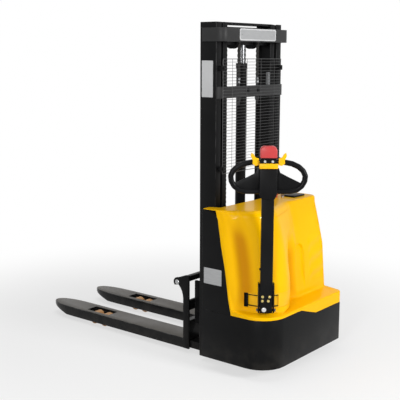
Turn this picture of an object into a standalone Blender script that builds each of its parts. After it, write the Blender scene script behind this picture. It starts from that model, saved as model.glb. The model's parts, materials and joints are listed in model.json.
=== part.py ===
# Walkie stacker: straddle-less, fork-over electric stacker with a two-stage mast.
# Metres, +Z up, +X towards the fork tips, +Y to the left of the truck.
# Working frame: X = 0 at the mast's front face, Y = 0 on the mast's centre line, Z = 0 on the floor.
# The last step moves everything so that the origin lies below the middle of the whole truck.
import math

import bmesh
import bpy
from mathutils import Matrix, Vector

# ---------------------------------------------------------------- driving dimensions
GAP = 0.0003                 # seat gap between pieces that touch
RUN = 0.0005                 # running gap beside moving pieces

MAST_HEIGHT = 1.926          # top of the outer rails
MAST_HALF_WIDTH = 0.315
MAST_BOTTOM = 0.030
RAIL_DEPTH = 0.111
RAIL_FLANGE = 0.046
RAIL_WALL = 0.010
NEST_GAP = 0.020             # side gap between outer flange tip and inner rail web
INNER_FLANGE = 0.037
INNER_WALL = 0.008
INNER_SETBACK = 0.003        # inner rail stands this far inside the outer one, front and rear
INNER_BOTTOM = 0.075

CHASSIS_SIDE = 0.077         # the chassis stands out this far beside the mast
CHASSIS_HALF_WIDTH = MAST_HALF_WIDTH + CHASSIS_SIDE
CHASSIS_FRONT = -0.079
CHASSIS_REAR = -0.533
SKIRT_BOTTOM = 0.067
SKIRT_TOP_LEFT = 0.345
SKIRT_TOP_RIGHT = 0.295
SKIRT_WALL = 0.006
CORNER_LEFT = 0.150
CORNER_RIGHT = 0.035
DECK_HEIGHT = 0.262
DECK_THICKNESS = 0.008

HOOD_TOP = 0.920
HOOD_WALL = 0.004
NOSE_RADIUS = 0.147
NOSE_SIDE = 0.055            # left side of the nose in from the chassis side
NOSE_LEDGE = 0.028           # the chassis reaches this far behind the nose
SLOT_LOW = 0.398
SLOT_HIGH = 0.478
SLOT_ANGLE = 104.0           # degrees to each side of straight back

TILLER_STANDOFF = 0.030      # pivot's distance from the nose
TILLER_REACH = NOSE_RADIUS + TILLER_STANDOFF
TILLER_PIVOT_HEIGHT = 0.399
TILLER_REST_ANGLE = 51.3     # degrees to the left of straight back
ARM_WIDTH = 0.065
ARM_DEPTH = 0.035
ARM_TOP = 1.002
NECK_WIDTH = 0.094
NECK_TOP = 1.168
HEAD_TOP = 1.285
LOOP_HALF_WIDTH = 0.2125

FORK_LENGTH = 1.193
FORK_FACE = 0.159            # front face of the carriage plates
FORK_INSET = 0.119           # middle of each fork in from the mast's side
FORK_CENTRE_Y = MAST_HALF_WIDTH - FORK_INSET
FORK_WIDTH = 0.150
FORK_TOP = 0.090
FORK_BOTTOM = 0.027
FORK_WALL = 0.007
FORK_TAPER = 0.300           # length over which the tip narrows
WHEEL_SLOT = (0.815, 1.012)
WHEEL_SLOT_WIDTH = 0.082
LOAD_WHEEL_X = (0.868, 0.958)
LOAD_WHEEL_RADIUS = 0.040
LOAD_WHEEL_WIDTH = 0.070
LEG_WIDTH = 0.112
LEG_BOTTOM = 0.031
LEG_TOP = 0.074

CHAIN_Y = 0.090
CHAIN_REAR_X = -0.098
CHAIN_WIDTH = 0.018
CHAIN_THICK = 0.011
SHEAVE_RADIUS = 0.046        # to the middle of the chain
SHEAVE_DROP = 0.094          # sheave axis below the top of the rails
SHEAVE_HEIGHT = MAST_HEIGHT - SHEAVE_DROP
BARREL_RADIUS = 0.030
ROD_RADIUS = 0.0225
BARREL_DROP = 0.222          # cylinder collar below the top of the rails
BARREL_TOP = MAST_HEIGHT - BARREL_DROP

DRIVE_WHEEL_RADIUS = 0.115
DRIVE_WHEEL_WIDTH = 0.070
CASTER_X = -0.395
CASTER_Y = -0.240
CASTER_TRAIL = 0.034
CASTER_WHEEL_RADIUS = 0.062
CASTER_WHEEL_WIDTH = 0.050

# ---------------------------------------------------------------- derived places
STEER_X = CHASSIS_REAR + NOSE_LEDGE + NOSE_RADIUS
STEER_Y = CHASSIS_HALF_WIDTH - NOSE_SIDE - NOSE_RADIUS
NOSE_RIGHT = STEER_Y - NOSE_RADIUS
SKIRT_STEP = (NOSE_RIGHT + 0.027, NOSE_RIGHT - 0.133)  # Y where the top edge starts and ends its step down
RAIL_REAR = -RAIL_DEPTH
INNER_WEB = MAST_HALF_WIDTH - RAIL_FLANGE - NEST_GAP
INNER_TIP = INNER_WEB - INNER_FLANGE
INNER_REAR = RAIL_REAR + INNER_SETBACK
INNER_FRONT = -INNER_SETBACK
MAST_MIDDLE = -RAIL_DEPTH / 2
DECK_TOP = DECK_HEIGHT + DECK_THICKNESS
FORK_TIP = FORK_FACE + FORK_LENGTH
CHAIN_FRONT_X = CHAIN_REAR_X + 2 * SHEAVE_RADIUS
SHEAVE_X = CHAIN_REAR_X + SHEAVE_RADIUS
BULKHEAD_FRONT = RAIL_REAR - GAP
BULKHEAD_REAR = BULKHEAD_FRONT - 0.006


# ---------------------------------------------------------------- scene and materials
def clear_scene():
    for obj in list(bpy.data.objects):
        bpy.data.objects.remove(obj, do_unlink=True)


def new_collection(name):
    collection = bpy.data.collections.new(name)
    bpy.context.scene.collection.children.link(collection)
    return collection


clear_scene()
PARTS = new_collection("walkie_stacker")
CUTTERS = new_collection("cutters")


def material(name, colour, roughness, metallic=0.0):
    mat = bpy.data.materials.new(name)
    mat.use_nodes = True
    shader = mat.node_tree.nodes["Principled BSDF"]
    shader.inputs["Base Color"].default_value = (*colour, 1.0)
    shader.inputs["Roughness"].default_value = roughness
    shader.inputs["Metallic"].default_value = metallic
    mat.diffuse_color = (*colour, 1.0)
    return mat


BLACK_PAINT = material("black_paint", (0.018, 0.019, 0.021), 0.45)
GREY_FORK = material("fork_paint", (0.060, 0.062, 0.066), 0.40)
YELLOW = material("yellow_cover", (0.870, 0.480, 0.004), 0.35)
YELLOW_TRIM = material("yellow_plastic", (0.800, 0.470, 0.010), 0.40)
BLACK_PLASTIC = material("black_plastic", (0.022, 0.022, 0.024), 0.50)
RED = material("red_plastic", (0.600, 0.020, 0.030), 0.40)
CHROME = material("chrome", (0.800, 0.800, 0.810), 0.12, 1.0)
STEEL = material("steel", (0.420, 0.430, 0.440), 0.35, 1.0)
CHAIN_STEEL = material("chain_steel", (0.110, 0.105, 0.100), 0.45, 0.9)
POLYURETHANE = material("polyurethane", (0.560, 0.340, 0.170), 0.50)
TYRE = material("tyre", (0.025, 0.025, 0.025), 0.80)
MOTOR_GREY = material("motor_grey", (0.160, 0.165, 0.170), 0.50)
BATTERY_CASE = material("battery_case", (0.200, 0.210, 0.220), 0.55)
LIGHT_GREY = material("light_grey", (0.450, 0.450, 0.450), 0.50)


# ---------------------------------------------------------------- modelling helpers
def pivot(name, location, turn=0.0, parent=None):
    empty = bpy.data.objects.new(name, None)
    empty.empty_display_size = 0.08
    empty.location = location
    empty.rotation_euler = (0.0, 0.0, turn)
    empty.parent = parent
    CUTTERS.objects.link(empty)
    return empty


def mesh_object(name, mesh, mat, parent, location=(0, 0, 0), cutter=False):
    obj = bpy.data.objects.new(name, mesh)
    obj.location = location
    obj.parent = parent
    if mat:
        mesh.materials.append(mat)
    (CUTTERS if cutter else PARTS).objects.link(obj)
    if cutter:
        obj.hide_render = True
        obj.display_type = "WIRE"
    return obj


def box(name, low, high, mat, parent, cutter=False):
    size = [high[i] - low[i] for i in range(3)]
    middle = [(high[i] + low[i]) / 2 for i in range(3)]
    mesh = bpy.data.meshes.new(name)
    bm = bmesh.new()
    bmesh.ops.create_cube(bm, size=1.0, matrix=Matrix.Diagonal((*size, 1.0)))
    bm.to_mesh(mesh)
    bm.free()
    return mesh_object(name, mesh, mat, parent, middle, cutter)


def axis_turn(axis):
    if axis == "X":
        return Matrix.Rotation(math.radians(90), 4, "Y")
    if axis == "Y":
        return Matrix.Rotation(math.radians(-90), 4, "X")
    return Matrix.Identity(4)


def cylinder(name, radius, axis, centre, length, mat, parent, sides=32, cutter=False, radius_far=None):
    mesh = bpy.data.meshes.new(name)
    bm = bmesh.new()
    far = radius if radius_far is None else radius_far
    bmesh.ops.create_cone(bm, cap_ends=True, segments=sides, radius1=radius, radius2=far,
                          depth=length, matrix=axis_turn(axis))
    bm.to_mesh(mesh)
    bm.free()
    smooth(mesh)
    return mesh_object(name, mesh, mat, parent, centre, cutter)


def smooth(mesh, angle=35.0):
    mesh.shade_smooth()
    mesh.set_sharp_from_angle(angle=math.radians(angle))


PLANES = {
    "XY": Matrix.Identity(4),
    "XZ": Matrix(((1, 0, 0, 0), (0, 0, -1, 0), (0, 1, 0, 0), (0, 0, 0, 1))),
    "YZ": Matrix(((0, 0, 1, 0), (1, 0, 0, 0), (0, 1, 0, 0), (0, 0, 0, 1))),
}


def outline(name, loops, plane, low, high, mat, parent, cutter=False):
    """A flat outline, with holes as further loops, given thickness from low to high across its plane."""
    if not isinstance(loops[0][0], (tuple, list)):
        loops = [loops]
    curve = bpy.data.curves.new(name, "CURVE")
    curve.dimensions = "2D"
    curve.fill_mode = "BOTH"
    curve.extrude = (high - low) / 2
    for loop in loops:
        spline = curve.splines.new("POLY")
        spline.points.add(len(loop) - 1)
        for point, (a, b) in zip(spline.points, loop):
            point.co = (a, b, 0.0, 1.0)
        spline.use_cyclic_u = True
    holder = bpy.data.objects.new(name + "_outline", curve)
    CUTTERS.objects.link(holder)
    graph = bpy.context.evaluated_depsgraph_get()
    mesh = bpy.data.meshes.new_from_object(holder.evaluated_get(graph))
    bpy.data.objects.remove(holder, do_unlink=True)
    middle = (low + high) / 2
    across = {"XY": (0, 0, middle), "XZ": (0, middle, 0), "YZ": (middle, 0, 0)}[plane]
    bm = bmesh.new()
    bm.from_mesh(mesh)
    bmesh.ops.remove_doubles(bm, verts=bm.verts, dist=0.00002)
    bmesh.ops.transform(bm, matrix=PLANES[plane], verts=bm.verts)
    bmesh.ops.recalc_face_normals(bm, faces=bm.faces)
    bm.to_mesh(mesh)
    bm.free()
    mesh.name = name
    mesh.materials.clear()
    return mesh_object(name, mesh, mat, parent, across, cutter)


def turned(name, profile, axis, centre, mat, parent, steps=32, cutter=False):
    """A turned shape: (radius, height) pairs, listed down the outer side from top to bottom."""
    mesh = bpy.data.meshes.new(name)
    closed = profile[0][0] > 1e-6
    edges = [(i, i + 1) for i in range(len(profile) - 1)]
    if closed:
        edges.append((len(profile) - 1, 0))
    mesh.from_pydata([(r, 0.0, h) for r, h in profile], edges, [])
    obj = mesh_object(name, mesh, mat, parent, centre, cutter)
    obj.rotation_euler = axis_turn(axis).to_euler()
    screw = obj.modifiers.new("turn", "SCREW")
    screw.steps = steps
    screw.render_steps = steps
    screw.use_merge_vertices = True
    screw.merge_threshold = 0.00001
    screw.use_smooth_shade = False
    return obj


def boolean(target, tool, operation):
    mod = target.modifiers.new(operation.lower() + "_" + tool.name, "BOOLEAN")
    mod.operation = operation
    mod.solver = "EXACT"
    mod.object = tool
    return target


def cut(target, *tools):
    for tool in tools:
        boolean(target, tool, "DIFFERENCE")
    return target


def weld(target, *tools):
    for tool in tools:
        boolean(target, tool, "UNION")
    return target


def bevel(obj, width, segments=2, angle=40.0):
    mod = obj.modifiers.new("edges", "BEVEL")
    mod.width = width
    mod.segments = segments
    mod.limit_method = "ANGLE"
    mod.angle_limit = math.radians(angle)
    return obj


def arc(cx, cy, radius, start, end, count):
    points = []
    for i in range(count + 1):
        angle = math.radians(start + (end - start) * i / count)
        points.append((cx + radius * math.cos(angle), cy + radius * math.sin(angle)))
    return points


def interpolate(table, value):
    if value <= table[0][0]:
        return table[0][1]
    for (v0, r0), (v1, r1) in zip(table, table[1:]):
        if value <= v1:
            return r0 + (r1 - r0) * (value - v0) / (v1 - v0)
    return table[-1][1]


def smoothstep(low, high, value):
    t = min(1.0, max(0.0, (value - low) / (high - low)))
    return t * t * (3 - 2 * t)


def wheel_profile(radius, width, bore, edge):
    half = width / 2
    return [(bore, half), (radius - edge, half), (radius, half - edge), (radius, -half + edge),
            (radius - edge, -half), (bore, -half)]


SIDES = (("left", 1), ("right", -1))
FRAME = pivot("truck_frame", (0, 0, 0))


# ---------------------------------------------------------------- mast, outer stage
def outer_rails():
    for side, s in SIDES:
        y0 = MAST_HALF_WIDTH
        y1 = y0 - RAIL_WALL
        y2 = y0 - RAIL_FLANGE
        section = [(RAIL_REAR, y0), (RAIL_REAR, y2), (RAIL_REAR + RAIL_WALL, y2),
                   (RAIL_REAR + RAIL_WALL, y1),
                   (-RAIL_WALL, y1), (-RAIL_WALL, y2), (0.0, y2), (0.0, y0)]
        section = [(x, s * y) for x, y in section]
        outline("outer_rail_" + side, section, "XY", MAST_BOTTOM, MAST_HEIGHT, BLACK_PAINT, FRAME)


TOP_BAR_REAR = -0.165
TOP_BAR_RADIUS = 0.044
TOP_BAR_LOW = MAST_HEIGHT - 0.1045
TOP_BAR_HIGH = MAST_HEIGHT - 0.0315
TOP_BAR_PLATE = 0.008


def u_bar_path(rear, half, front, radius, count=5):
    left = arc(rear + radius, half - radius, radius, 90, 180, count)
    right = arc(rear + radius, -half + radius, radius, 180, 270, count)
    return [(front, half)] + left + right + [(front, -half)]


def outer_top_crossbar():
    side_gap = MAST_HALF_WIDTH + GAP
    outer = u_bar_path(TOP_BAR_REAR, side_gap + TOP_BAR_PLATE, -0.018, TOP_BAR_RADIUS)
    inner = u_bar_path(TOP_BAR_REAR + TOP_BAR_PLATE, side_gap, -0.018, TOP_BAR_RADIUS - TOP_BAR_PLATE)
    loop = outer + list(reversed(inner))
    outline("outer_top_crossbar", loop, "XY", TOP_BAR_LOW, TOP_BAR_HIGH, BLACK_PAINT, FRAME)


MID_BEAM_LOW = MAST_HEIGHT - 0.411
MID_BEAM_HIGH = MAST_HEIGHT - 0.347
MID_BEAM_REAR = -0.1215
ANCHOR_LOW = MID_BEAM_LOW - 0.045
ANCHOR_HIGH = MID_BEAM_HIGH + 0.051


def outer_mid_crossbeam():
    beam = box("outer_mid_crossbeam", (MID_BEAM_REAR, -MAST_HALF_WIDTH, MID_BEAM_LOW),
               (RAIL_REAR - GAP, MAST_HALF_WIDTH, MID_BEAM_HIGH), BLACK_PAINT, FRAME)
    for side, s in SIDES:
        y = s * CHAIN_Y
        lug = box("anchor_lug_" + side, (MID_BEAM_REAR + 0.003, y - 0.016, MID_BEAM_LOW + 0.012),
                  (CHAIN_REAR_X + 0.012, y + 0.016, MID_BEAM_HIGH - 0.014), BLACK_PAINT, FRAME,
                  cutter=True)
        stud = cylinder("anchor_stud_" + side, 0.007, "Z", (CHAIN_REAR_X, y,
                                                            (ANCHOR_LOW + ANCHOR_HIGH) / 2),
                        ANCHOR_HIGH - ANCHOR_LOW, STEEL, FRAME, 12, cutter=True)
        nut = cylinder("anchor_nut_" + side, 0.0115, "Z", (CHAIN_REAR_X, y, MID_BEAM_LOW - 0.004),
                       0.034, STEEL, FRAME, 6, cutter=True)
        weld(beam, lug, stud, nut)


FOOT_LOW = 0.056
FOOT_TOP = 0.066


def mast_foot():
    half = MAST_HALF_WIDTH - RAIL_WALL - GAP
    box("mast_foot", (RAIL_REAR + RAIL_WALL + GAP, -half, FOOT_LOW), (-RAIL_WALL - GAP, half, FOOT_TOP),
        BLACK_PAINT, FRAME)


def lift_cylinder():
    bore = ROD_RADIUS + RUN
    low = FOOT_TOP + GAP
    profile = [(BARREL_RADIUS + 0.003, BARREL_TOP), (BARREL_RADIUS + 0.003, BARREL_TOP - 0.030),
               (BARREL_RADIUS, BARREL_TOP - 0.032), (BARREL_RADIUS, low), (0.0, low), (0.0, low + 0.020),
               (bore, low + 0.020), (bore, BARREL_TOP)]
    mesh = bpy.data.meshes.new("lift_cylinder")
    ring = [(r, 0.0, h) for r, h in profile]
    edges = [(i, i + 1) for i in range(3)] + [(3, 4), (5, 6), (6, 7), (7, 0)]
    mesh.from_pydata(ring, edges, [])
    obj = mesh_object("lift_cylinder", mesh, BLACK_PAINT, FRAME, (SHEAVE_X, 0, 0))
    screw = obj.modifiers.new("turn", "SCREW")
    screw.steps = 24
    screw.render_steps = 24
    screw.use_merge_vertices = True
    screw.merge_threshold = 0.00001


GUARD_X = -0.133
GUARD_LOW = 1.100
GUARD_HIGH = MAST_HEIGHT - 0.196
GUARD_HALF = MAST_HALF_WIDTH - 0.031
GUARD_WIRE = 0.004
GUARD_CLIP_HEIGHTS = (GUARD_LOW + 0.028, GUARD_HIGH - 0.052)


def mesh_guard():
    guard = box("mesh_guard", (GUARD_X - GUARD_WIRE / 2, -GUARD_HALF, GUARD_LOW),
                (GUARD_X + GUARD_WIRE / 2, GUARD_HALF, GUARD_HIGH), BLACK_PAINT, FRAME)
    columns = 4
    rows = 5
    pitch_y = (2 * GUARD_HALF - GUARD_WIRE) / columns
    pitch_z = (GUARD_HIGH - GUARD_LOW - GUARD_WIRE) / rows
    for i in range(columns):
        for j in range(rows):
            y0 = -GUARD_HALF + GUARD_WIRE + i * pitch_y
            z0 = GUARD_LOW + GUARD_WIRE + j * pitch_z
            hole = box("guard_window_%d_%d" % (i, j), (GUARD_X - 0.01, y0, z0),
                       (GUARD_X + 0.01, y0 + pitch_y - GUARD_WIRE, z0 + pitch_z - GUARD_WIRE),
                       None, FRAME, cutter=True)
            cut(guard, hole)
    for side, s in SIDES:
        for k, z in enumerate(GUARD_CLIP_HEIGHTS):
            y = s * (GUARD_HALF - 0.001)
            clip = box("guard_clip_%s_%d" % (side, k), (GUARD_X - 0.001, y - 0.011, z - 0.014),
                       (RAIL_REAR - GAP, y + 0.011, z + 0.014), BLACK_PAINT, FRAME, cutter=True)
            weld(guard, clip)


# ---------------------------------------------------------------- mast, inner stage
def inner_rails():
    for side, s in SIDES:
        y0 = INNER_WEB
        y1 = INNER_WEB - INNER_WALL
        y2 = INNER_TIP
        a = INNER_REAR
        b = INNER_FRONT
        section = [(a, y0), (a, y2), (a + INNER_WALL, y2), (a + INNER_WALL, y1),
                   (b - INNER_WALL, y1), (b - INNER_WALL, y2), (b, y2), (b, y0)]
        section = [(x, s * y) for x, y in section]
        rail = outline("inner_rail_" + side, section, "XY", INNER_BOTTOM, MAST_HEIGHT - 0.001,
                       BLACK_PAINT, MAST)
        mast_roller_pins(rail, side, s)


MAST_ROLLER_Z = 0.150
MAST_ROLLER_WIDTH = 0.030
MAST_ROLLER_PIN = 0.012


def mast_roller_pins(rail, side, s):
    tip = MAST_HALF_WIDTH - RAIL_WALL - 0.002
    pin = cylinder("mast_roller_pin_" + side, MAST_ROLLER_PIN, "Y",
                   (MAST_MIDDLE, s * (INNER_WEB - 0.002 + tip) / 2, MAST_ROLLER_Z),
                   tip - INNER_WEB + 0.002, STEEL,
                   MAST, 16, cutter=True)
    weld(rail, pin)


def mast_rollers():
    radius = RAIL_DEPTH / 2 - RAIL_WALL - RUN
    for side, s in SIDES:
        name = "mast_roller_" + side
        y = s * (MAST_HALF_WIDTH - RAIL_WALL - 0.003 - MAST_ROLLER_WIDTH / 2)
        axis = pivot(name + "_axis", (MAST_MIDDLE, y, MAST_ROLLER_Z), 0.0, MAST)
        turned(name, wheel_profile(radius, MAST_ROLLER_WIDTH, MAST_ROLLER_PIN + GAP, 0.002), "Y",
               (0, 0, 0), STEEL,
               axis, 28)


HEAD_BEAM_LOW = SHEAVE_HEIGHT - 0.026
HEAD_BEAM_HIGH = MAST_HEIGHT - 0.023
TOP_PLATE_HIGH = MAST_HEIGHT + 0.0125


def inner_top():
    half = INNER_WEB - INNER_WALL - GAP
    plate = box("inner_top_crossbar", (INNER_REAR + INNER_WALL + GAP, -half, MAST_HEIGHT - 0.012),
                (INNER_FRONT - INNER_WALL - GAP, half, TOP_PLATE_HIGH - 0.012), BLACK_PAINT, MAST)
    beam = box("inner_head_beam", (SHEAVE_X - 0.026, -half, HEAD_BEAM_LOW),
               (SHEAVE_X + 0.026, half, HEAD_BEAM_HIGH), BLACK_PAINT, MAST)
    for side, s in SIDES:
        y = s * CHAIN_Y
        slot = box("sheave_slot_" + side, (SHEAVE_X - 0.05, y - 0.0165, HEAD_BEAM_LOW - 0.01),
                   (SHEAVE_X + 0.05, y + 0.0165, SHEAVE_HEIGHT + SHEAVE_RADIUS + 0.014), None, MAST,
                   cutter=True)
        cut(beam, slot)
        pin = cylinder("sheave_pin_" + side, 0.010, "Y", (SHEAVE_X, y, SHEAVE_HEIGHT), 0.045, STEEL,
                       MAST, 16,
                       cutter=True)
        weld(beam, pin)
    return plate


def inner_foot():
    half = INNER_WEB - INNER_WALL - GAP
    rear = INNER_REAR + INNER_WALL + GAP
    box("inner_foot_tie", (rear, -half, INNER_BOTTOM + 0.010), (rear + 0.012, half, INNER_BOTTOM + 0.050),
        BLACK_PAINT, MAST)


ROD_LOW = 0.160


def piston_rod():
    cylinder("piston_rod", ROD_RADIUS, "Z", (SHEAVE_X, 0, (ROD_LOW + HEAD_BEAM_LOW - GAP) / 2),
             HEAD_BEAM_LOW - GAP - ROD_LOW, CHROME, MAST, 24)


def sheaves():
    for side, s in SIDES:
        axis = pivot("sheave_axis_" + side, (SHEAVE_X, s * CHAIN_Y, SHEAVE_HEIGHT), 0.0, MAST)
        rim = SHEAVE_RADIUS + 0.002
        groove = SHEAVE_RADIUS - CHAIN_THICK / 2 - RUN
        half = 0.0150
        web = CHAIN_WIDTH / 2 + RUN
        profile = [(0.0105, half), (rim, half), (rim, web), (groove, web), (groove, -web), (rim, -web),
                   (rim, -half), (0.0105, -half)]
        wheel = turned("sheave_" + side, profile, "Y", (0, 0, 0), STEEL, axis, 28)
        cut(wheel, index_hole(axis, side))


def index_hole(axis, side):
    return cylinder("sheave_index_" + side, 0.004, "Y", (0.025, 0, 0), 0.06, None, axis, 10, cutter=True)


CHAIN_ANCHOR_Z = 0.420


def chains():
    for side, s in SIDES:
        t = CHAIN_THICK / 2
        low_rear = ANCHOR_HIGH + GAP
        low_front = CHAIN_ANCHOR_Z + GAP
        outer = arc(SHEAVE_X, SHEAVE_HEIGHT, SHEAVE_RADIUS + t, 180, 0, 12)
        inner = arc(SHEAVE_X, SHEAVE_HEIGHT, SHEAVE_RADIUS - t, 0, 180, 12)
        loop = [(CHAIN_REAR_X - t, low_rear)] + outer + [(CHAIN_FRONT_X + t, low_front),
                                                         (CHAIN_FRONT_X - t, low_front)]
        loop += inner + [(CHAIN_REAR_X + t, low_rear)]
        y = s * CHAIN_Y
        outline("chain_" + side, loop, "XZ", y - CHAIN_WIDTH / 2, y + CHAIN_WIDTH / 2, CHAIN_STEEL, MAST)


# ---------------------------------------------------------------- fork carriage
PLATE_THICK = 0.012
PLATE_REAR = 0.117
PLATE_TOP = 0.476
EAR_X = 0.2047
EAR_Z = 0.4247
EAR_RADIUS = 0.028
ROLLER_Z = (0.210, 0.400)
CARRIAGE_PIN = 0.014


def carriage_plate_outline():
    points = [(PLATE_REAR, FORK_BOTTOM), (FORK_FACE, FORK_BOTTOM), (FORK_FACE, 0.310)]
    curve = arc(FORK_FACE + 0.110, 0.330, 0.110, 190, 133, 5)
    points += [(x, z) for x, z in curve[1:]]
    points += arc(EAR_X, EAR_Z, EAR_RADIUS, -45, 100, 8)
    points += [(0.170, PLATE_TOP - 0.012), (0.140, PLATE_TOP), (PLATE_REAR, PLATE_TOP)]
    return points


def carriage():
    fork_out = FORK_CENTRE_Y + FORK_WIDTH / 2
    low = box("carriage_frame", (PLATE_REAR + 0.002, -fork_out + 0.004, LEG_TOP + 0.006),
              (FORK_FACE, fork_out - 0.004, FORK_TOP + 0.110), BLACK_PAINT, CARRIAGE)
    for side, s in SIDES:
        y_out = s * fork_out
        y_in = s * (fork_out - PLATE_THICK)
        plate = outline("carriage_plate_" + side, carriage_plate_outline(), "XZ", min(y_out, y_in),
                        max(y_out, y_in), BLACK_PAINT, CARRIAGE, cutter=True)
        weld(low, plate)
    for name, x0, x1, z0, z1 in (("middle", 0.119, 0.135, 0.265, 0.325),
                                 ("top", 0.119, 0.147, 0.440, 0.472)):
        bar = box("carriage_bar_" + name, (x0, -fork_out + 0.005, z0), (x1, fork_out - 0.005, z1),
                  BLACK_PAINT, CARRIAGE, cutter=True)
        weld(low, bar)
    arm_y = INNER_TIP - 0.006
    for side, s in SIDES:
        ya = s * arm_y
        yb = s * (arm_y - 0.014)
        arm = box("carriage_arm_" + side, (MAST_MIDDLE - 0.030, min(ya, yb), ROLLER_Z[0] - 0.034),
                  (PLATE_REAR + 0.006, max(ya, yb), ROLLER_Z[1] + 0.034), BLACK_PAINT, CARRIAGE,
                  cutter=True)
        weld(low, arm)
        for k, z in enumerate(ROLLER_Z):
            end = INNER_WEB - INNER_WALL - 0.0015
            start = arm_y - 0.010
            pin = cylinder("roller_pin_%s_%d" % (side, k), CARRIAGE_PIN, "Y",
                           (MAST_MIDDLE, s * (start + end) / 2, z),
                           end - start, STEEL, CARRIAGE, 16, cutter=True)
            weld(low, pin)
        lug = box("chain_lug_" + side, (CHAIN_FRONT_X - 0.012, min(s * 0.070, s * (arm_y - 0.004)),
                                        CHAIN_ANCHOR_Z - 0.016),
                  (CHAIN_FRONT_X + 0.012, max(s * 0.070, s * (arm_y - 0.004)), CHAIN_ANCHOR_Z),
                  BLACK_PAINT, CARRIAGE, cutter=True)
        weld(low, lug)
    return low


def carriage_rollers():
    for side, s in SIDES:
        for k, z in enumerate(ROLLER_Z):
            width = INNER_WEB - INNER_WALL - INNER_TIP - 0.005
            y = s * (INNER_TIP + 0.0005 + width / 2)
            radius = (INNER_FRONT - INNER_REAR) / 2 - INNER_WALL - RUN
            name = "carriage_roller_%s_%s" % (side, ("lower", "upper")[k])
            axis = pivot(name + "_axis", (MAST_MIDDLE, y, z), 0.0, CARRIAGE)
            turned(name, wheel_profile(radius, width, CARRIAGE_PIN + GAP, 0.002), "Y", (0, 0, 0), STEEL,
                   axis, 28)


def fork_half_width(x):
    half = FORK_WIDTH / 2
    start = FORK_TIP - FORK_TAPER
    if x <= start:
        return half
    t = (x - start) / FORK_TAPER
    return half * math.sqrt(max(0.0, 1 - t ** 3.2))


def fork_plan(inset, centre, end):
    xs = [FORK_FACE + GAP, FORK_TIP - FORK_TAPER]
    tip = end
    steps = 9
    for i in range(1, steps + 1):
        t = math.sin(math.radians(90 * i / steps))
        xs.append(FORK_TIP - FORK_TAPER + (tip - FORK_TIP + FORK_TAPER) * t)
    upper = []
    for x in xs[:-1]:
        shrink = (x - FORK_TIP + FORK_TAPER) / (tip - FORK_TIP + FORK_TAPER)
        x_full = FORK_TIP - FORK_TAPER + FORK_TAPER * max(0.0, shrink)
        width = fork_half_width(min(x_full, FORK_TIP)) if shrink > 0 else FORK_WIDTH / 2
        upper.append((x, width - inset * (width / (FORK_WIDTH / 2))))
    points = [(x, centre + w) for x, w in upper] + [(tip, centre)]
    points += [(x, centre - w) for x, w in reversed(upper)]
    return points


def forks():
    for side, s in SIDES:
        centre = s * FORK_CENTRE_Y
        fork = outline("fork_" + side, fork_plan(0.0, centre, FORK_TIP), "XY", FORK_BOTTOM, FORK_TOP,
                       GREY_FORK, CARRIAGE)
        inside = outline("fork_inside_" + side, fork_plan(FORK_WALL, centre, FORK_TIP - 0.060), "XY",
                         FORK_BOTTOM - 0.02, FORK_TOP - FORK_WALL, None, CARRIAGE, cutter=True)
        rear_cut = box("fork_inside_rear_" + side, (FORK_FACE - 0.02, centre - FORK_WIDTH / 2 + FORK_WALL,
                                                    FORK_BOTTOM - 0.02),
                       (FORK_FACE + 0.02, centre + FORK_WIDTH / 2 - FORK_WALL, FORK_TOP - FORK_WALL),
                       None,
                       CARRIAGE, cutter=True)
        slot = box("fork_slot_" + side, (WHEEL_SLOT[0], centre - WHEEL_SLOT_WIDTH / 2, FORK_TOP - 0.03),
                   (WHEEL_SLOT[1], centre + WHEEL_SLOT_WIDTH / 2, FORK_TOP + 0.02), None, CARRIAGE,
                   cutter=True)
        under = [(FORK_TIP - 0.165, FORK_BOTTOM - 0.03), (FORK_TIP - 0.165, FORK_BOTTOM),
                 (FORK_TIP + 0.02, FORK_TOP - 0.016), (FORK_TIP + 0.02, FORK_BOTTOM - 0.03)]
        ramp = outline("fork_ramp_" + side, under, "XZ", centre - FORK_WIDTH, centre + FORK_WIDTH, None,
                       CARRIAGE, cutter=True)
        cut(fork, inside, rear_cut, slot, ramp)


# ---------------------------------------------------------------- support legs and load wheels
LEG_TIP = FORK_TIP - 0.185


def support_legs():
    for side, s in SIDES:
        centre = s * FORK_CENTRE_Y
        leg = box("support_leg_" + side, (0.0, centre - LEG_WIDTH / 2, LEG_BOTTOM),
                  (LEG_TIP, centre + LEG_WIDTH / 2, LEG_TOP), BLACK_PAINT, FRAME)
        heel = box("leg_heel_" + side, (RAIL_REAR - 0.02, centre - LEG_WIDTH / 2 + 0.002, LEG_BOTTOM),
                   (0.02, centre + LEG_WIDTH / 2 - 0.002, FOOT_LOW - GAP), BLACK_PAINT, FRAME,
                   cutter=True)
        weld(leg, heel)
        pocket = box("wheel_pocket_" + side, (WHEEL_SLOT[0], centre - WHEEL_SLOT_WIDTH / 2,
                                              LEG_BOTTOM - 0.01),
                     (WHEEL_SLOT[1], centre + WHEEL_SLOT_WIDTH / 2, LEG_TOP + 0.01), None, FRAME,
                     cutter=True)
        cut(leg, pocket)
        for k, x in enumerate(LOAD_WHEEL_X):
            pin = cylinder("load_axle_%s_%d" % (side, k), 0.008, "Y", (x, centre, LOAD_WHEEL_RADIUS),
                           LEG_WIDTH - 0.006, STEEL, FRAME, 16, cutter=True)
            weld(leg, pin)


def load_wheels():
    for side, s in SIDES:
        for k, x in enumerate(LOAD_WHEEL_X):
            name = "load_wheel_%s_%s" % (side, ("rear", "front")[k])
            axis = pivot(name + "_axis", (x, s * FORK_CENTRE_Y, LOAD_WHEEL_RADIUS), 0.0, FRAME)
            turned(name, wheel_profile(LOAD_WHEEL_RADIUS, LOAD_WHEEL_WIDTH, 0.0083, 0.004), "Y",
                   (0, 0, 0),
                   POLYURETHANE, axis, 28)


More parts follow.
